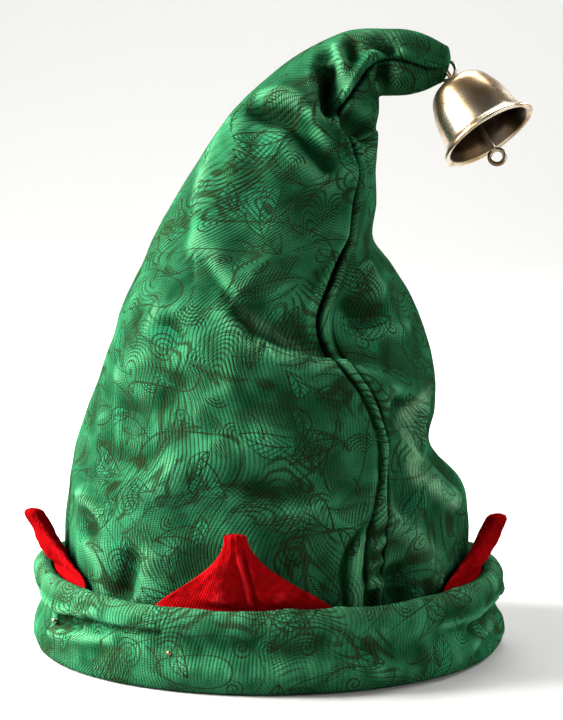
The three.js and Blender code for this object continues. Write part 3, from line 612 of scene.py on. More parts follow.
# Crests painted pale, as rubbed nap with a painted highlight, with how pale in place of depth
rubbedHighlightCrests = [
    (1.9, 1.5, 1.5, 0, [(0.84, 0.43), (0.77, 0.417), (0.68, 0.391), (0.665, 0.343), (0.7, 0.298),
                        (0.805, 0.269), (0.92, 0.235)]),
    (1.1, 0.5, 2, 0, [(0.82, 0.412), (0.792, 0.4), (0.743, 0.378), (0.733, 0.34), (0.775, 0.309),
                      (0.83, 0.285)]),
    (4.4, 0.4, 2, 0, [(0.5, 0.28), (0.60, 0.235), (0.67, 0.212), (0.745, 0.183), (0.82, 0.14)]),
    (2.6, 0.36, 2, 0, [(-0.13, 0.93), (-0.158, 0.908), (-0.24, 0.836), (-0.295, 0.774), (-0.32, 0.728)]),
    (2.5, 0.2, 2, 0, [(-0.14, 0.578), (-0.08, 0.556), (0.083, 0.525), (0.237, 0.494)]),
    (4, 0.25, 2, 0, [(-0.06, 0.92), (0.06, 0.965), (0.2, 0.985), (0.4, 1.0), (0.6, 0.99)]),
]
backFolds = [
    (11, -7, 2, 0, [(-0.1, 0.84), (0.14, 0.79), (0.36, 0.77)]),
    (9, -5.5, 2, 0, [(0.46, 0.9), (0.28, 0.87)]),
    (12, 5.5, 2, 0, [(-0.3, 0.66), (-0.12, 0.52), (-0.2, 0.38)]),
    (12, -6.5, 2, 0, [(0.1, 0.62), (0.28, 0.54), (0.5, 0.52)]),
    (13, 4.7, 2, 0, [(0.62, 0.46), (0.42, 0.36), (0.36, 0.24)]),
    (15, -5.7, 2, 0, [(-0.58, 0.36), (-0.36, 0.27)]),
]


def crownSection(column, at):
    return smoothTable(crown[column], at)


def foldLine(path):
    # A smooth line through a fold's few points
    points = np.array(path) * [crown["radius"], crown["height"]] + [0, crown["hem"]]
    at = np.linspace(0, len(path) - 1, 6 * (len(path) - 1) + 1)
    return np.stack([smoothTable(points[:, 0], at), smoothTable(points[:, 1], at)], axis=1)


def foldHeights(x, z, facing, folds):
    # How far the folds push the cloth out, for points seen at x and z that face that way
    total = np.zeros(x.shape)
    for width, depth, sharp, lean, path in folds:
        line = foldLine(path)
        width, depth = width / 1000, depth / 1000
        reach = 3.2 * width
        low, high = line.min(axis=0) - reach, line.max(axis=0) + reach
        near = (x > low[0]) & (x < high[0]) & (z > low[1]) & (z < high[1]) & (facing > 0)
        px, pz = x[near], z[near]
        best = np.full(px.shape, 1e9)
        hand = np.zeros(px.shape)
        reached = np.zeros(px.shape)
        for number, (start, end) in enumerate(zip(line[:-1], line[1:])):
            step = end - start
            share = ((px - start[0]) * step[0] + (pz - start[1]) * step[1]) / (step @ step)
            share = np.clip(share, 0, 1)
            dx, dz = px - start[0] - share * step[0], pz - start[1] - share * step[1]
            distance = np.hypot(dx, dz)
            nearer = distance < best
            best[nearer] = distance[nearer]
            hand[nearer] = np.sign(step[0] * dz - step[1] * dx)[nearer]
            reached[nearer] = ((number + share) / (len(line) - 1))[nearer]
        spread = width * (1 + lean * hand)
        weight = smoothStep(facing[near], 0.12, 0.5)
        if len(path) > 2:
            weight = weight * smoothStep(reached, -0.12, 0.3)
        total[near] += depth * weight * np.exp(-(best / spread) ** sharp)
    return total


def crownLattice():
    # The crown's outside as a lattice: rows from the tip to the hem, columns round from the seam
    last = len(crown["outX"]) - 1
    capShare = np.linspace(1, 0, crown["capRows"], endpoint=False)
    at = np.concatenate([np.full(len(capShare), last), np.linspace(last, 0, crown["outsideRows"] + 1)])
    cap = np.concatenate([capShare, np.zeros(crown["outsideRows"] + 1)])
    evenly = np.linspace(0, 1, crown["columns"] + 1)
    turn = fullTurn * evenly - crown["seamDetail"] * np.sin(fullTurn * evenly)
    keys = ("outX", "outZ", "inX", "inZ", "front", "back", "seam")
    value = {key: crownSection(key, at) for key in keys}
    theta = -np.arccos(np.clip(value["seam"], -1, 1))[:, None] - turn[None, :]
    radius, height, hem = crown["radius"], crown["height"], crown["hem"]
    out = np.stack([value["outX"] * radius, hem + value["outZ"] * height], axis=1)
    inner = np.stack([value["inX"] * radius, hem + value["inZ"] * height], axis=1)
    middle, across = (out + inner) / 2, (inner - out) / 2
    depth = np.where(np.sin(theta) > 0, value["back"][:, None], value["front"][:, None]) * radius
    shrink = np.sqrt(1 - cap ** 2)[:, None]
    along = middle[len(capShare)] - middle[len(capShare) + 6]
    along = along / np.linalg.norm(along)
    x, z = (middle[:, k, None] + across[:, k, None] * np.cos(theta) * shrink
            + (along[k] * cap * crown["capLength"])[:, None] for k in range(2))
    return np.stack([x, depth * np.sin(theta) * shrink, z], axis=2), at


def crownArcs(places):
    # Lengths of cloth: round from the seam to each point, round each whole row, and up from the hem
    steps = np.linalg.norm(np.diff(places, axis=1), axis=2)
    around = np.concatenate([np.zeros((len(places), 1)), np.cumsum(steps, axis=1)], axis=1)
    upSteps = np.linalg.norm(np.diff(places, axis=0), axis=2).mean(axis=1)
    up = np.concatenate([np.cumsum(upSteps[::-1])[::-1], [0]])
    return around, around[:, -1:], up


def seamRelief(at, around, whole, up):
    # A groove with a rib of cloth on each side, drawn in by its stitches, and painted shade along the
    # groove and the stitches
    fromSeam = np.minimum(around, whole - around)
    isRight = around > whole / 2
    keys = ("groove", "leftRib", "rightRib", "stitches", "stitchAt")
    seamAt = {key: (crownSection(key, at) / 1000)[:, None] for key in keys}
    fromStitches = fromSeam - seamAt["stitchAt"]
    stitch = 0.85 + 0.15 * np.cos(up * fullTurn / crown["stitch"])[:, None]
    welt = np.exp(-((fromSeam / seamAt["stitchAt"] - 0.5) / 0.28) ** 2) * isRight
    lift = seamAt["rightRib"] * welt
    lift += seamAt["leftRib"] * np.exp(-((fromSeam - 0.0041) / 0.0022) ** 2) * ~isRight
    lift -= seamAt["groove"] * stitch * np.exp(-(fromSeam / 0.001) ** 2)
    lift -= seamAt["stitches"] * stitch * isRight * np.exp(-(fromStitches / 0.0009) ** 2)
    # Painted shade: the cloth's colour darkens along the groove and the line of stitches
    paintedSeamShade = np.exp(-(fromSeam / 0.0011) ** 2) * smoothStep(seamAt["groove"], 0.001, 0.003)
    paintedSeamShade += np.exp(-(fromStitches / 0.0008) ** 2) * isRight * smoothStep(seamAt["stitches"], 0, 0.002)
    return lift, np.minimum(paintedSeamShade, 1), welt * smoothStep(seamAt["stitches"], 0.0006, 0.0016)


def crownDents(places):
    # Soft dents and creases everywhere, and more of them on the side away from the bend
    x, z = places[..., 0], places[..., 2]
    dents = softNoise(places, 0.062, 11) * 0.0005 + softNoise(places, 0.026, 12) * 0.0003
    creases = 1 - np.abs(softNoise(places * [1, 1, 0.7], 0.04, 13))
    dents += 0.0006 * creases - 0.0003 + softNoise(places, 0.011, 14) * 0.00016
    crumple = smoothStep(-x, 0.0, 0.04) * (1 - smoothStep(z, 0.17, 0.22))
    crush = np.abs(softNoise(places * [1, 1, 0.8], 0.024, 16)) - 0.6
    return dents - 0.0007 * crush * crumple * smoothStep(z, 0.05, 0.09)


def gatherHem(places, lift):
    # Gathers above the hem, and room for the points behind the cuff
    angle = np.arctan2(places[..., 1], places[..., 0])
    z = places[..., 2]
    gathers = np.abs(np.sin(angle * crown["gathers"] + 1.5 * softNoise(places[..., :2], 0.09, 15)))
    lift = lift - crown["gatherDepth"] * gathers * (1 - smoothStep(z, 0.02, 0.075))
    low = 1 - smoothStep(z, crown["clearBelow"] - 0.006, crown["clearBelow"] + 0.016)
    bearing = np.degrees(angle) + 90
    aside = [np.abs(np.mod(bearing - which["angle"] + 180, 360) - 180) for which in pointPlaces]
    low = low * (1 - 0.8 * smoothStep(np.min(aside, axis=0), 23, 27))
    return np.where(lift > 0, lift * (1 - 0.9 * low), lift)


def makeCrown():
    places, at = crownLattice()
    normals = gridNormals(places)
    around, whole, up = crownArcs(places)
    x, z, forward = places[..., 0], places[..., 2], -normals[..., 1]
    seamLift, paintedSeamShade, welt = seamRelief(at, around, whole, up)
    lift = foldHeights(x, z, forward, frontFolds) + foldHeights(x, z, -forward, backFolds) + seamLift
    # Pale crests: rubbed nap with a painted highlight
    rubbedHighlight = np.clip(foldHeights(x, z, forward, rubbedHighlightCrests) * 1000, 0, 1)
    lift += crownDents(places) * smoothStep(whole, 0.02, 0.06) * (0.3 + 0.7 * np.abs(forward))
    lift = gatherHem(places, lift)
    outside = places + normals * lift[..., None]
    outside[0] = outside[0].mean(axis=0)
    outside[:, -1] = outside[:, 0]
    relief = np.clip((lift - blurred(lift, 40)) / 0.0012, -1.5, 1.5)

    # The inside follows the outside a wall's thickness behind it
    insideAt = np.linspace(0, crown["insideEnd"], crown["insideRows"])
    row = crown["capRows"] + (1 - insideAt / at[0]) * crown["outsideRows"]
    inside = betweenRows(outside, row) - crown["wall"] * betweenRows(blurredNormals(outside), row)
    inside[-1] = inside[-1].mean(axis=0)
    inside[0, :, 2] = outside[-1, :, 2]
    allRows = np.concatenate([outside, inside]) + [hatAxis[0], hatAxis[1], 0]
    share = around / np.maximum(whole, 1e-6)
    maps = {"cloth": flatCloth(share, up), "ribs": ribPhase(share, up, places)}
    marks = {"relief": relief, "paintedSeamShade": paintedSeamShade, "welt": welt, "rubbedHighlight": rubbedHighlight}
    blank = np.zeros(inside.shape[:2])
    piece = makeLattice(
        "crown_cloth", allRows,
        {key: np.concatenate([values, betweenRows(values, row)]) for key, values in maps.items()},
        {key: np.concatenate([values, blank]) for key, values in marks.items()})
    piece.data.materials.append(finishes["crown"])
    return piece


def blurredNormals(places):
    normals = gridNormals(places)
    normals = np.stack([blurred(normals[..., k], 3) for k in range(3)], axis=2)
    return normals / np.linalg.norm(normals, axis=2, keepdims=True)


def betweenRows(values, row):
    # A lattice's values read between its rows
    first = np.clip(np.floor(row).astype(int), 0, len(values) - 2)
    share = (row - first).reshape(-1, *[1] * (values.ndim - 1))
    return values[first] * (1 - share) + values[first + 1] * share


def flatCloth(share, up):
    # Where each point lies on its flat panel: the crown is two panels, sewn at the seam and behind
    panel = share >= 0.5
    within = (share - 0.5 * panel) * 2 - 0.5
    angle = within * crown["panelTurn"]
    reach = (up[0] + crown["panelPast"] - up)[:, None]
    flat = np.stack([reach * np.sin(angle), -reach * np.cos(angle)], axis=2)
    flat[..., 0] += crown["panelApart"] * panel
    return flat


def ribPhase(share, up, places):
    # The wales stand upright at the front, and lean over towards the tip
    panel = share >= 0.5
    angle = (share - panel + 0.09 * (2 * panel - 1)) * 2 * crown["panelTurn"]
    reach = (up[0] + crown["panelPast"] - up)[:, None]
    rise = np.clip((up - 0.11) / 0.16, 0, 1)
    lean = (rise * math.radians(68))[:, None]
    climb = np.concatenate([np.cumsum((np.sin(lean[1:, 0]) * -np.diff(up))[::-1])[::-1], [0]])
    phase = reach * np.sin(angle) * np.cos(lean) + climb[:, None]
    phase = phase + 0.0018 * softNoise(places, 0.07, 31)
    return np.stack([phase, reach * np.cos(angle)], axis=2)


crownPiece = makeCrown()
print("crown made:", len(crownPiece.data.polygons), "faces")


# The cuff. Its outside runs from the floor up and over the rim: out is a share of wall measured
# from the pocket's wall, up of height, and dip is how far the crease takes it back in.

cuff = {
    "inner": 0.1012, "wall": 0.0054, "height": 0.04, "foot": 0.004, "footInner": 0.0895,
    "rounding": 0.0012, "pucker": 0.0037, "columns": 420, "steps": 76,
    "out": [0.3, 1.2, 1.6, 1.72, 1.66, 1.6, 1.56, 1.62, 1.72, 1.7, 1.4, 0.84, 0.28, 0],
    "up": [0, 0.03, 0.11, 0.21, 0.32, 0.42, 0.51, 0.61, 0.72, 0.84, 0.94, 1, 0.97, 0.88],
    "dip": [0, 0, 0, 0, 0.02, 0.3, 0.56, 0.48, 0.12, 0, 0, 0, 0, 0],
    # Round the hat, by degrees from the front to the right
    "angle": [0, 30, 60, 85, 120, 165, 205, 240, 275, 305, 335, 360],
    "rise": [0.93, 0.94, 0.96, 0.975, 1, 0.99, 1.01, 1.03, 1.035, 0.98, 0.94, 0.93],
    "bulge": [0.8, 0.84, 1, 1.02, 0.97, 0.9, 0.93, 0.9, 0.78, 0.9, 0.82, 0.8],
    "crease": [0.35, 0.3, 0.6, 1.3, 0.7, 0.5, 0.6, 0.8, 1.3, 0.7, 0.4, 0.35],
}


def cuffRound(key, degrees):
    # Eased between the rows, as the cuff swells and narrows round the hat
    degrees = np.mod(degrees, 360)
    angles = np.array(cuff["angle"], dtype=float)
    row = np.clip(np.searchsorted(angles, degrees, side="right") - 1, 0, len(angles) - 2)
    t = (degrees - angles[row]) / (angles[row + 1] - angles[row])
    t = t * t * (3 - 2 * t)
    values = np.array(cuff[key])
    return values[row] * (1 - t) + values[row + 1] * t


def cuffSection(degrees):
    # Points of radius and height for each angle, from the floor over the rim into the pocket
    rise, bulge, crease = (cuffRound(key, degrees)[:, None] for key in ("rise", "bulge", "crease"))
    out, up, dip = (np.array(cuff[key])[None, :] for key in ("out", "up", "dip"))
    swollen = np.where(out > 1, 1 + (out - 1) * bulge, out)
    radius = cuff["inner"] + (swollen - dip * crease) * cuff["wall"]
    height = up * rise * cuff["height"]
    corner = cuff["rounding"]
    foot = [(cuff["footInner"], corner), (cuff["footInner"] + corner, 0)]
    pocket = [(cuff["inner"], cuff["foot"] + corner), (cuff["inner"] - corner, cuff["foot"]),
              (cuff["footInner"] + corner, cuff["foot"]), (cuff["footInner"], cuff["foot"] - corner)]
    rows = len(degrees)
    first = np.broadcast_to(np.array(foot), (rows, len(foot), 2))
    last = np.broadcast_to(np.array(pocket), (rows, len(pocket), 2))
    return np.concatenate([first, np.stack([radius, height], axis=2), last], axis=1)


# Folds in the cuff: width and depth in millimetres, and a path of degrees from the front to the
# right and millimetres of height.
cuffFolds = [
    (2.6, -5.5, [(-63, 21), (-58, 21.5), (-53, 23)]),  # a pocket at the waist
    (1.3, -2.6, [(-60, 21.5), (-50, 24), (-38, 25.5), (-26, 26)]),
    (2.6, 2, [(-72, 29), (-58, 28), (-44, 31)]),
    (2.2, 1.8, [(-66, 15), (-52, 17), (-40, 19.5)]),
    (1.6, -1.8, [(-76, 31), (-66, 25), (-60, 22)]),
    (2, -2, [(80, 24), (70, 22), (58, 19)]),
    (2.4, 1.8, [(82, 28), (70, 26.5), (58, 24.5), (46, 25)]),
    (2.4, 1.6, [(76, 17), (66, 15), (58, 11)]),
    (6, -1.3, [(-24, 24), (-5, 22.5), (12, 23)]),
    (6, 1, [(-20, 12), (0, 11), (26, 12)]),
    (5, -1.2, [(24, 20), (38, 14)]),
    (3, -3, [(112, 22), (128, 20)]),
    (3, -3.5, [(-118, 22), (-136, 20)]),
    (4, 2, [(160, 26), (190, 22), (215, 25)]),
]


def cuffFoldHeights(degrees, height):
    # How far the folds push the cuff's cloth out
    total = np.zeros(height.shape)
    scale = np.radians(1) * (cuff["inner"] + cuff["wall"])
    for width, depth, path in cuffFolds:
        at = np.linspace(0, len(path) - 1, 8 * (len(path) - 1) + 1)
        line = np.stack([smoothTable([p[k] for p in path], at) for k in range(2)], axis=1)
        best = np.full(height.shape, 1e9)
        for angle, high in line:
            turn = np.mod(degrees - angle + 180, 360) - 180
            best = np.minimum(best, np.hypot(turn * scale, height - high / 1000))
        total += depth / 1000 * np.exp(-(best / (width / 1000)) ** 2)
    return total


def makeCuff():
    degrees = np.linspace(0, 360, cuff["columns"] + 1)
    section = cuffSection(degrees)
    # Smooth the outline between its points, evenly along its length
    closed = np.concatenate([section, section[:, :1]], axis=1)
    count = closed.shape[1] - 1
    lengths = np.linalg.norm(np.diff(closed[0], axis=0), axis=1)
    reached = np.concatenate([[0], np.cumsum(lengths)])
    wanted = np.linspace(0, reached[-1], cuff["steps"] + 1)
    at = np.interp(wanted, reached, np.arange(count + 1))
    padded = np.concatenate([closed[:, -3:-1], closed, closed[:, 1:3]], axis=1)
    profile = np.array([[smoothTable(row[:, k], at + 2) for k in range(2)] for row in padded])
    radius, height = profile[:, 0].T, profile[:, 1].T
    angle = np.radians(degrees)[None, :]
    places = np.stack([radius * np.sin(angle), -radius * np.cos(angle), height], axis=2)
    normals = gridNormals(places)
    around = np.broadcast_to(angle * (cuff["inner"] + cuff["wall"]), radius.shape)
    # Dents, small waves and puckers, none of them on the flat underside or in the pocket
    outside = smoothStep(radius, cuff["inner"] + 0.001, cuff["inner"] + 0.005)
    outside = outside * smoothStep(height, 0.001, 0.007)
    lift = softNoise(places, 0.05, 21) * 0.0005 + softNoise(places, 0.021, 22) * 0.00028
    lift += cuffFoldHeights(degrees[None, :], height)
    lift += softNoise(places, 0.009, 23) * 0.00014
    rim = smoothStep(height, 0.03, 0.038)
    lift += 0.00016 * rim * np.sin(around * fullTurn / cuff["pucker"])
    places = places + normals * (lift * outside)[..., None]
    places[..., 2] = np.maximum(places[..., 2], 0)
    relief = np.clip((lift - blurred(lift, 20)) / 0.0008, -1, 1) * outside
    upAlong = np.broadcast_to(wanted[:, None], radius.shape)
    cloth = np.stack([around, upAlong], axis=2)
    phase = around + 0.0035 * softNoise(places, 0.06, 24) * outside
    places = places + [hatAxis[0], hatAxis[1], 0]
    maps = {"cloth": cloth, "ribs": np.stack([phase, upAlong], axis=2)}
    # The top of the rim is painted a little paler, as rubbed nap with a painted highlight
    marks = {"relief": relief, "paintedSeamShade": 0 * relief, "welt": 0 * relief, "rubbedHighlight": 0.12 * rim * outside}
    piece = makeLattice("cuff_cloth", places, maps, marks)
    piece.data.materials.append(finishes["cuff"])
    return piece


cuffPiece = makeCuff()
print("cuff made:", len(cuffPiece.data.polygons), "faces")


# The red points. rise is a share of height above the cuff's rim, or below it of the pocket's
# depth; half is a share of halfWidth, lean of leanOut, thick goes from flatThickness to thickness.
# The powers say how square the section is: in the pocket, rounded above it, and with a crest.

point = {
    "height": 0.033, "halfWidth": 0.0385, "thickness": 0.008, "flatThickness": 0.0044, "leanOut": 0.0125,
    "edge": 0.44, "flatPower": 8, "roundPower": 2.2, "ridgePower": 1.2, "ridgeRise": 0.25,
    "pocketMiddle": 0.0981, "columns": 160, "rows": 100, "endRows": 6,
    "rise": [-1, -0.9, -0.4, -0.1, 0.02, 0.14, 0.28, 0.42, 0.56, 0.72, 0.86, 0.94, 0.985, 1],
    "half": [0.8, 0.94, 1.06, 1.08, 0.985, 0.84, 0.655, 0.475, 0.325, 0.205, 0.145, 0.138, 0.11, 0.055],
    "lean": [0, 0, 0, 0, 0.02, 0.1, 0.24, 0.4, 0.56, 0.72, 0.88, 0.96, 0.99, 1],
    "thick": [-0.5, 0, 0, 0, 0, 0.5, 0.9, 1, 1, 1, 1, 0.85, 0.4, -0.4],
    "crestHeight": 0.0018, "grooveDepth": 0.0015, "swellHeight": 0.002, "knobFolds": 9,
}


def pointRipple(which, side, offset, height, rise, turn, wide, seed):
    # A narrow crest down the outside with a groove on one side of it and a soft swell on the other,
    # dents, and gathers at the knob
    around = np.stack(np.broadcast_arrays(side, offset * 3, height), axis=2)
    ripple = softNoise(around, 0.017, seed) * 0.0004 * wide
    ripple += softNoise(around, 0.0045, seed + 1) * 0.00012
    fromCrest = side - 0.0045 * (1 - rise)
    crest = point["crestHeight"] * np.exp(-(fromCrest / 0.001) ** 2)
    crest -= point["grooveDepth"] * np.exp(-((fromCrest - 0.002) / 0.0009) ** 2)
    crest += point["swellHeight"] * np.exp(-((fromCrest + 0.013) / 0.007) ** 2) * wide
    ripple += crest * (np.sign(offset) > 0) * smoothStep(-rise, -0.9, -0.6) * which["crest"]
    knob = smoothStep(rise, 0.5, 0.8)
    return ripple - 0.0005 * knob * np.abs(np.sin(point["knobFolds"] / 2 * turn + 0.4))


def makePoint(which, seed):
    last, ends = len(point["rise"]) - 1, point["endRows"]
    along = np.linspace(0, 1, point["rows"] + 1)
    endShare = np.linspace(1, 0, ends, endpoint=False)
    at = np.concatenate([np.zeros(ends), along * last, np.full(ends, last)])
    close = np.concatenate([endShare, np.zeros(len(along)), endShare[::-1]])[:, None]
    value = {key: smoothTable(point[key], at)[:, None] for key in ("rise", "half", "lean", "thick")}
    rim = cuff["height"] * cuffRound("rise", np.array([which["angle"]]))[0]
    rise = value["rise"]
    room = np.where(rise > 0, point["height"] * which["height"], rim - cuff["foot"] - 0.0003)
    height = rim + rise * room
    half = value["half"] * point["halfWidth"] * which["width"]
    radius = point["pocketMiddle"] + value["lean"] * point["leanOut"] * which["lean"]
    full = point["thickness"] * which["thick"]
    thick = point["flatThickness"] + (full - point["flatThickness"]) * value["thick"]
    ridged = np.clip(rise / point["ridgeRise"], 0, 1)
    # Flat in the pocket, ridged above it, and rounder towards the knob and at the sides of the hat
    sharp = (point["ridgePower"] - point["roundPower"]) * which["crest"]
    ridge = point["roundPower"] + sharp * (1 - smoothStep(rise, 0.4, 0.75))
    power = point["flatPower"] + (ridge - point["flatPower"]) * ridged
    turn = np.linspace(0, fullTurn, point["columns"] + 1)[None, :]
    share = np.sign(np.cos(turn)) * np.abs(np.cos(turn)) ** 1.25
    # The section swells at the middle and is rounded over at its sides and ends
    swell = thick / 2 * (1 - (1 - point["edge"]) * np.abs(share) ** power)
    offset = swell * np.abs(np.sin(turn)) ** 0.45 * np.sign(np.sin(turn)) * np.sqrt(1 - close ** 2)
    side = share * half * (1 - 0.02 * close)
    wide = smoothStep(half, 0.004, 0.012)
    ripple = pointRipple(which, side, offset, height, rise, turn, wide, seed)
    offset = offset + ripple * np.sign(offset) * smoothStep(rise, 0.0, 0.12)
    # Cloth ribs run up and draw together at the knob
    ribs = side / (0.4 + 0.6 * half / point["halfWidth"]) + 0.2 * seed
    side = side + np.maximum(rise, 0) * which["slant"] * point["halfWidth"]
    angle = math.radians(which["angle"])
    outward = np.array([math.sin(angle), -math.cos(angle)])
    sideways = np.array([math.cos(angle), math.sin(angle)])
    far = radius + offset - side * side / (2 * point["pocketMiddle"])
    flat = far[..., None] * outward + side[..., None] * sideways + np.array(hatAxis)
    places = np.concatenate([flat, np.broadcast_to(height, side.shape)[..., None]], axis=2)
    places[0] = places[0].mean(axis=0)
    places[-1] = places[-1].mean(axis=0)
    relief = np.clip((offset - blurred(offset, 12)) * np.sign(offset) / 0.0004, -1, 1)
    cloth = np.stack(np.broadcast_arrays(ribs, height), axis=2)
    piece = makeLattice(which["name"] + "_cloth", places, {"cloth": cloth}, {"relief": relief})
    piece.data.materials.append(finishes["red"])
    return piece


pointPieces = [makePoint(which, 40 + 2 * i) for i, which in enumerate(pointPlaces)]
print("points made:", len(pointPieces))


# The bell and what hangs in it, made upright with the mouth at height 0 and the clapper's hinge
# along Y, then tilted together about the hinge.

bell = {
    "height": 0.0326, "radius": 0.0234, "wall": 0.0012, "steps": 96, "profileSteps": 66, "lipRow": 10,
    "up": [1, 1, 0.985, 0.95, 0.905, 0.83, 0.73, 0.55, 0.4, 0.26, 0.145, 0.105, 0.075, 0.045, 0.015,
           0, 0, 0.03],
    "out": [0, 0.18, 0.25, 0.375, 0.495, 0.595, 0.665, 0.755, 0.795, 0.82, 0.845, 0.88, 0.94, 0.99, 1,
            0.975, 0.93, 0.87],
    "eyeWire": 0.0018, "eyeWidth": 0.007, "eyeHeight": 0.0076, "eyeShift": -0.0004,
    "barWire": 0.0024, "barDrop": 0.005, "barSpan": 0.0077, "barEnd": 0.001, "legWire": 0.002,
    "ringWire": 0.0016, "ringRoom": 0.0024, "gap": 0.0003, "tiltSide": 33.2, "tiltFront": 23,
}

clapper = {
    "reach": 0.0103, "stem": 0.0032, "stemTop": 0.0024, "topWire": 0.0019, "eye": 0.0091, "hole": 0.0048,
    "swing": 3.5, "running": 0.0004, "voxel": 0.00016,
}

barHeight = bell["height"] - bell["wall"] - bell["barDrop"]
wallMiddle = bell["height"] - bell["wall"] / 2  # in the bell's flat top


def bellMatrix():
    hinge = Vector(frame["record"]["behaviour"]["joints"][0]["pos_m"])
    side = Matrix.Rotation(math.radians(-bell["tiltSide"]), 4, "Y")
    front = Matrix.Rotation(math.radians(-bell["tiltFront"]), 4, "X")
    return Matrix.Translation(hinge) @ side @ front @ Matrix.Translation((0, 0, -barHeight))


def spinProfile(name, profile, steps):
    # A profile of radius and height, drawn point by point and spun round the upright axis
    deselectAll()
    bpy.ops.mesh.primitive_plane_add(size=0.001)
    piece = takeNewest(name)
    bpy.ops.object.mode_set(mode="EDIT")
    bpy.ops.mesh.select_all(action="SELECT")
    bpy.ops.mesh.merge(type="CENTER")
    start = Vector((profile[0][0], 0, profile[0][1]))
    bpy.ops.transform.translate(value=start)
    for before, after in zip(profile[:-1], profile[1:]):
        step = (after[0] - before[0], 0, after[1] - before[1])
        bpy.ops.mesh.extrude_region_move(TRANSFORM_OT_translate={"value": step})
    bpy.ops.mesh.select_all(action="SELECT")
    bpy.ops.mesh.spin(steps=steps, angle=fullTurn, center=(0, 0, 0), axis=(0, 0, 1))
    bpy.ops.object.mode_set(mode="OBJECT")
    mendNormals(piece, 0.00001)
    return piece


def addTorus(name, major, minor, height, majorSteps=56, minorSteps=18):
    deselectAll()
    bpy.ops.mesh.primitive_torus_add(
        major_radius=major, minor_radius=minor, major_segments=majorSteps, minor_segments=minorSteps,
        location=(0, 0, height), rotation=(math.pi / 2, 0, 0))
    return takeNewest(name)


def addBar(name, start, end, width, endWidth=None, sides=24):
    start, end = Vector(start), Vector(end)
    along = end - start
    deselectAll()
    bpy.ops.mesh.primitive_cone_add(
        vertices=sides, radius1=width / 2, radius2=(endWidth or width) / 2, depth=along.length,
        location=(start + end) / 2, rotation=along.to_track_quat("Z", "Y").to_euler())
    return takeNewest(name)


def uniteWith(piece, other):
    applyModifier(piece, "BOOLEAN", operation="UNION", solver="EXACT", object=other)
    bpy.data.objects.remove(other, do_unlink=True)


def bellProfile():
    # Down the outside to the lip and up the inside, drawn smooth
    outside = [(out * bell["radius"], up * bell["height"]) for up, out in zip(bell["up"], bell["out"])]
    inside = [(out * bell["radius"] - bell["wall"], up * (bell["height"] - bell["wall"]))
              for up, out in zip(bell["up"][1:bell["lipRow"] + 1], bell["out"][1:])]
    rough = np.array([*outside, *reversed(inside), (0, bell["height"] - bell["wall"])])
    at = np.linspace(0, len(rough) - 1, bell["profileSteps"] + 1)
    profile = np.stack([smoothTable(rough[:, k], at) for k in range(2)], axis=1)
    profile[:, 0] = np.maximum(profile[:, 0], 0)
    profile[[0, -1], 0] = 0
    return profile.tolist()


def makeTopEye():
    # The upper half of a ring on two legs
    side = (bell["eyeWidth"] - bell["eyeWire"]) / 2
    arcHeight = bell["height"] + bell["eyeHeight"] - bell["eyeWire"] / 2 - side
    eye = addTorus("bell_eye", side, bell["eyeWire"] / 2, 0)
    placeMesh(eye, Matrix.Translation((0, 0, arcHeight)) @ Matrix.Rotation(math.pi / 2, 4, "Z"))
    selectOnly(eye)
    bpy.ops.object.mode_set(mode="EDIT")
    bpy.ops.mesh.select_all(action="SELECT")
    bpy.ops.mesh.bisect(plane_co=(0, 0, arcHeight), plane_no=(0, 0, 1), clear_inner=True)
    bpy.ops.mesh.extrude_region_move(TRANSFORM_OT_translate={"value": (0, 0, wallMiddle - arcHeight)})
    bpy.ops.mesh.edge_face_add()
    bpy.ops.object.mode_set(mode="OBJECT")
    mendNormals(eye)
    return eye


def makeStaple():
    # Inside the bell: a bar on two legs, on which the clapper hangs
    half = bell["barSpan"] / 2
    end = half + bell["barEnd"]
    bar = addBar("bell_bar", (0, -end, barHeight), (0, end, barHeight), bell["barWire"])
    for y in (-half, half):
        uniteWith(bar, addBar("bell_leg", (0, y, barHeight), (0, y, wallMiddle), bell["legWire"]))
    return bar


def makeBell(place):
    piece = spinProfile("bell_shell", bellProfile(), bell["steps"])
    uniteWith(piece, makeTopEye())
    uniteWith(piece, makeStaple())
    placeMesh(piece, place)
    selectOnly(piece)
    bpy.ops.object.shade_smooth_by_angle(angle=math.radians(38))
    piece.data.materials.clear()
    piece.data.materials.append(finishes["brass"])
    piece.data.materials.append(finishes["insideShadeBrass"])
    # The inside is painted dark with patina all over as painted shade, and the outside is more tan
    # towards the top
    upright = place.inverted()
    skin = 0.6 * bell["wall"]
    for polygon in piece.data.polygons:
        middle = upright @ polygon.center
        shell = np.interp(middle.z / bell["height"], bell["up"][::-1], bell["out"][::-1])
        isWithin = math.hypot(middle.x, middle.y) < shell * bell["radius"] - skin
        polygon.material_index = int(isWithin and 0.0005 < middle.z < bell["height"] - skin)
    rise = piece.data.attributes.new("rise", "FLOAT", "POINT")
    for vertex, value in zip(piece.data.vertices, rise.data):
        value.value = (upright @ vertex.co).z / bell["height"]
    return piece


def makeRing(place):
    width = bell["eyeHeight"] + bell["ringRoom"] + bell["ringWire"] - bell["gap"]
    height = bell["height"] + bell["gap"] + width / 2
    ring = addTorus("tip_ring", (width - bell["ringWire"]) / 2, bell["ringWire"] / 2, height, 72, 20)
    placeMesh(ring, place @ Matrix.Translation((bell["eyeShift"], 0, 0)))
    ring.data.shade_smooth()
    ring.data.materials.append(finishes["oldBrass"])
    return ring


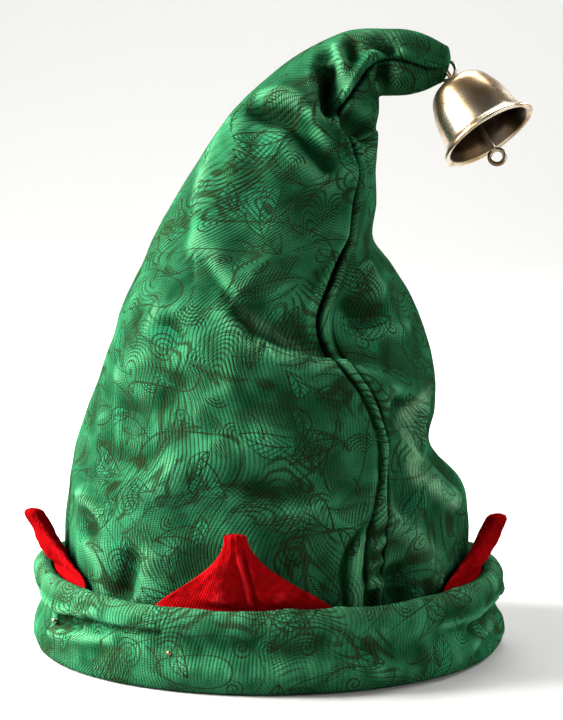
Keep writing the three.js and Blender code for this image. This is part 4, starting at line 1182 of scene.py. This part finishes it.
def makeClapper(place):
    # A stem with a ring at both ends: major is from a ring's middle to the middle of its wire
    topMajor = bell["barWire"] / 2 + clapper["running"] + clapper["topWire"] / 2
    lowerWire = (clapper["eye"] - clapper["hole"]) / 2
    lowerMajor = (clapper["hole"] + lowerWire) / 2
    ends = [(0, 0, lowerMajor - clapper["reach"]), (0, 0, barHeight - topMajor)]
    piece = joinPieces(
        addBar("bell_tongue", *ends, clapper["stem"], clapper["stemTop"], 28),
        addTorus("tongue_top", topMajor, clapper["topWire"] / 2, barHeight),
        addTorus("tongue_eye", lowerMajor, lowerWire / 2, -clapper["reach"]))
    # One voxel skin over the three makes it a casting with soft fillets
    applyModifier(piece, "REMESH", mode="VOXEL", voxel_size=clapper["voxel"], use_smooth_shade=True)
    applyModifier(piece, "SMOOTH", factor=0.6, iterations=7)
    hinge = Matrix.Translation((0, 0, barHeight))
    swing = Matrix.Rotation(math.radians(clapper["swing"]), 4, "Y")
    placeMesh(piece, place @ hinge @ swing @ hinge.inverted())
    piece.data.shade_smooth()
    piece.data.materials.append(finishes["oldBrass"])
    return piece


place = bellMatrix()
bellPiece = makeBell(place)
ringPiece = makeRing(place)
clapperPiece = makeClapper(place)
print("bell, ring and clapper made:", len(bellPiece.data.polygons), "faces in the bell")


# Small pin heads in the cuff

stud = {
    "width": 0.0023, "pin": 0.0008, "pinLength": 0.003, "lift": 0.0006,
    "up": [0, 0, 0.07, 0.16, 0.24, 0.3, 0.32],
    "out": [0, 0.46, 0.5, 0.46, 0.34, 0.16, 0],
}
studAngles = {"cuff_stud_front": -23, "cuff_stud_left": -65}


def makeStud(node, degrees):
    angle = math.radians(degrees)
    outward = Vector((math.sin(angle), -math.cos(angle), 0))
    low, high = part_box(node)
    # The cloth's surface, from the middle of the whole pin
    above = stud["lift"] + stud["up"][-1] * stud["width"]
    surface = (Vector(low) + Vector(high)) / 2 + outward * (stud["pinLength"] - above) / 2
    profile = [(out * stud["width"], stud["lift"] + up * stud["width"])
               for up, out in zip(stud["up"], stud["out"])]
    head = spinProfile(node + "_head", profile, 32)
    ends = [(0, 0, -stud["pinLength"]), (0, 0, stud["lift"] + stud["pin"] / 4)]
    uniteWith(head, addBar("pin", *ends, stud["pin"], None, 16))
    turn = Vector((0, 0, 1)).rotation_difference(outward).to_matrix().to_4x4()
    placeMesh(head, Matrix.Translation(surface) @ turn)
    selectOnly(head)
    bpy.ops.object.shade_smooth_by_angle(angle=math.radians(40))
    head.data.materials.clear()
    head.data.materials.append(finishes["oldBrass"])
    return head


studPieces = {node: makeStud(node, degrees) for node, degrees in studAngles.items()}
print("studs made:", len(studPieces))


# What rides on what, and what each piece stands for

def standFor(piece, node, body):
    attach(piece, body)
    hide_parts(node)


standFor(crownPiece, "crown", "hat")
standFor(cuffPiece, "cuff", "hat")
for piece, which in zip(pointPieces, pointPlaces):
    standFor(piece, which["name"], "hat")
standFor(bellPiece, "bell", "hat")
standFor(ringPiece, "bell_ring", "hat")
standFor(clapperPiece, "bell_clapper", "clapper")
for node, piece in studPieces.items():
    standFor(piece, node, "hat")


# The studio: a pale sweep, soft lights and the photograph's viewing angle

studio = {
    "floor": 8.0, "sweepHeight": 3.0, "sweepBack": 3.4, "sweepRound": 1.6,
    "paper": (0.36, 0.36, 0.355, 1), "surround": (0.075, 0.073, 0.07, 1),
    "distance": 1.30, "cameraHeight": 0.30, "cameraSide": 0.00638, "pitch": 7.282, "lens": 140.45,
    "aim": (0, 0, 0.14), "white": (1, 1, 1),  # for each light that names no other
}
lights = [
    {"name": "keyLight", "place": (-1.5, 0.02, 0.85), "size": 0.9, "power": 212,
     "colour": (1, 0.98, 0.95)},
    {"name": "fillLight", "place": (1.85, -1.15, 0.5), "size": 2.2, "power": 54,
     "colour": (1, 0.99, 0.97)},
    {"name": "softBox", "place": (-0.9, -0.75, 0.85), "size": 0.6, "power": 6,
     "colour": (1, 0.98, 0.95)},
    {"name": "rimLight", "place": (1.0, 0.75, 0.75), "size": 0.35, "power": 20},
    {"name": "backLight", "place": (0.1, 1.25, 1.7), "size": 0.8, "power": 18},
    {"name": "backdropLight", "place": (0, 1.5, 2.6), "size": 2, "power": 110, "aim": (0, 3.3, 0.2)},
]


def selectEdges(piece, isWanted):
    # Selects the edges whose two ends are where isWanted says, and goes on in edit mode
    bpy.ops.object.mode_set(mode="EDIT")
    bpy.ops.mesh.select_mode(type="EDGE")
    bpy.ops.mesh.select_all(action="DESELECT")
    bpy.ops.object.mode_set(mode="OBJECT")
    for edge in piece.data.edges:
        edge.select = all(isWanted(piece.data.vertices[v].co) for v in edge.vertices)
    bpy.ops.object.mode_set(mode="EDIT")


def makePaper():
    # A floor whose back edge is drawn up, with the fold between the two rounded
    back = studio["sweepBack"]
    deselectAll()
    bpy.ops.mesh.primitive_plane_add(size=studio["floor"], location=(0, back - studio["floor"] / 2, 0))
    paper = takeNewest("paper_sweep")
    selectEdges(paper, lambda place: place.y > back - 0.01)
    bpy.ops.mesh.extrude_region_move(TRANSFORM_OT_translate={"value": (0, 0, studio["sweepHeight"])})
    bpy.ops.object.mode_set(mode="OBJECT")
    selectEdges(paper, lambda place: place.y > back - 0.01 and place.z < 0.01)
    bpy.ops.mesh.bevel(offset=studio["sweepRound"], segments=24)
    bpy.ops.object.mode_set(mode="OBJECT")
    paper.data.shade_smooth()
    finish = Finish("palePaper", Base_Color=studio["paper"], Roughness=0.9)
    paper.data.materials.append(finish.material)


def makeLight(light):
    spot = Vector(light["place"])
    aim = Vector(light.get("aim", studio["aim"])) - spot
    turn = aim.to_track_quat("-Z", "Y").to_euler()
    bpy.ops.object.light_add(type="AREA", location=spot, rotation=turn)
    lamp = bpy.context.object
    lamp.name = light["name"]
    lamp.data.energy = light["power"]
    lamp.data.size = light["size"]
    lamp.data.color = light.get("colour", studio["white"])


def makeCamera():
    place = (hatAxis[0] + studio["cameraSide"], hatAxis[1] - studio["distance"], studio["cameraHeight"])
    bpy.ops.object.camera_add(location=place, rotation=(math.radians(90 - studio["pitch"]), 0, 0))
    camera = bpy.context.object
    camera.data.lens = studio["lens"]
    camera.data.sensor_width = 36
    bpy.context.scene.camera = camera


def makeSurround():
    # A dim even light from all round, and plain colours
    world = bpy.data.worlds.new("studioWorld")
    world.use_nodes = True
    world.node_tree.nodes["Background"].inputs["Color"].default_value = studio["surround"]
    bpy.context.scene.world = world
    bpy.context.scene.view_settings.view_transform = "Standard"


makePaper()
for light in lights:
    makeLight(light)
makeSurround()
makeCamera()
print("studio made")
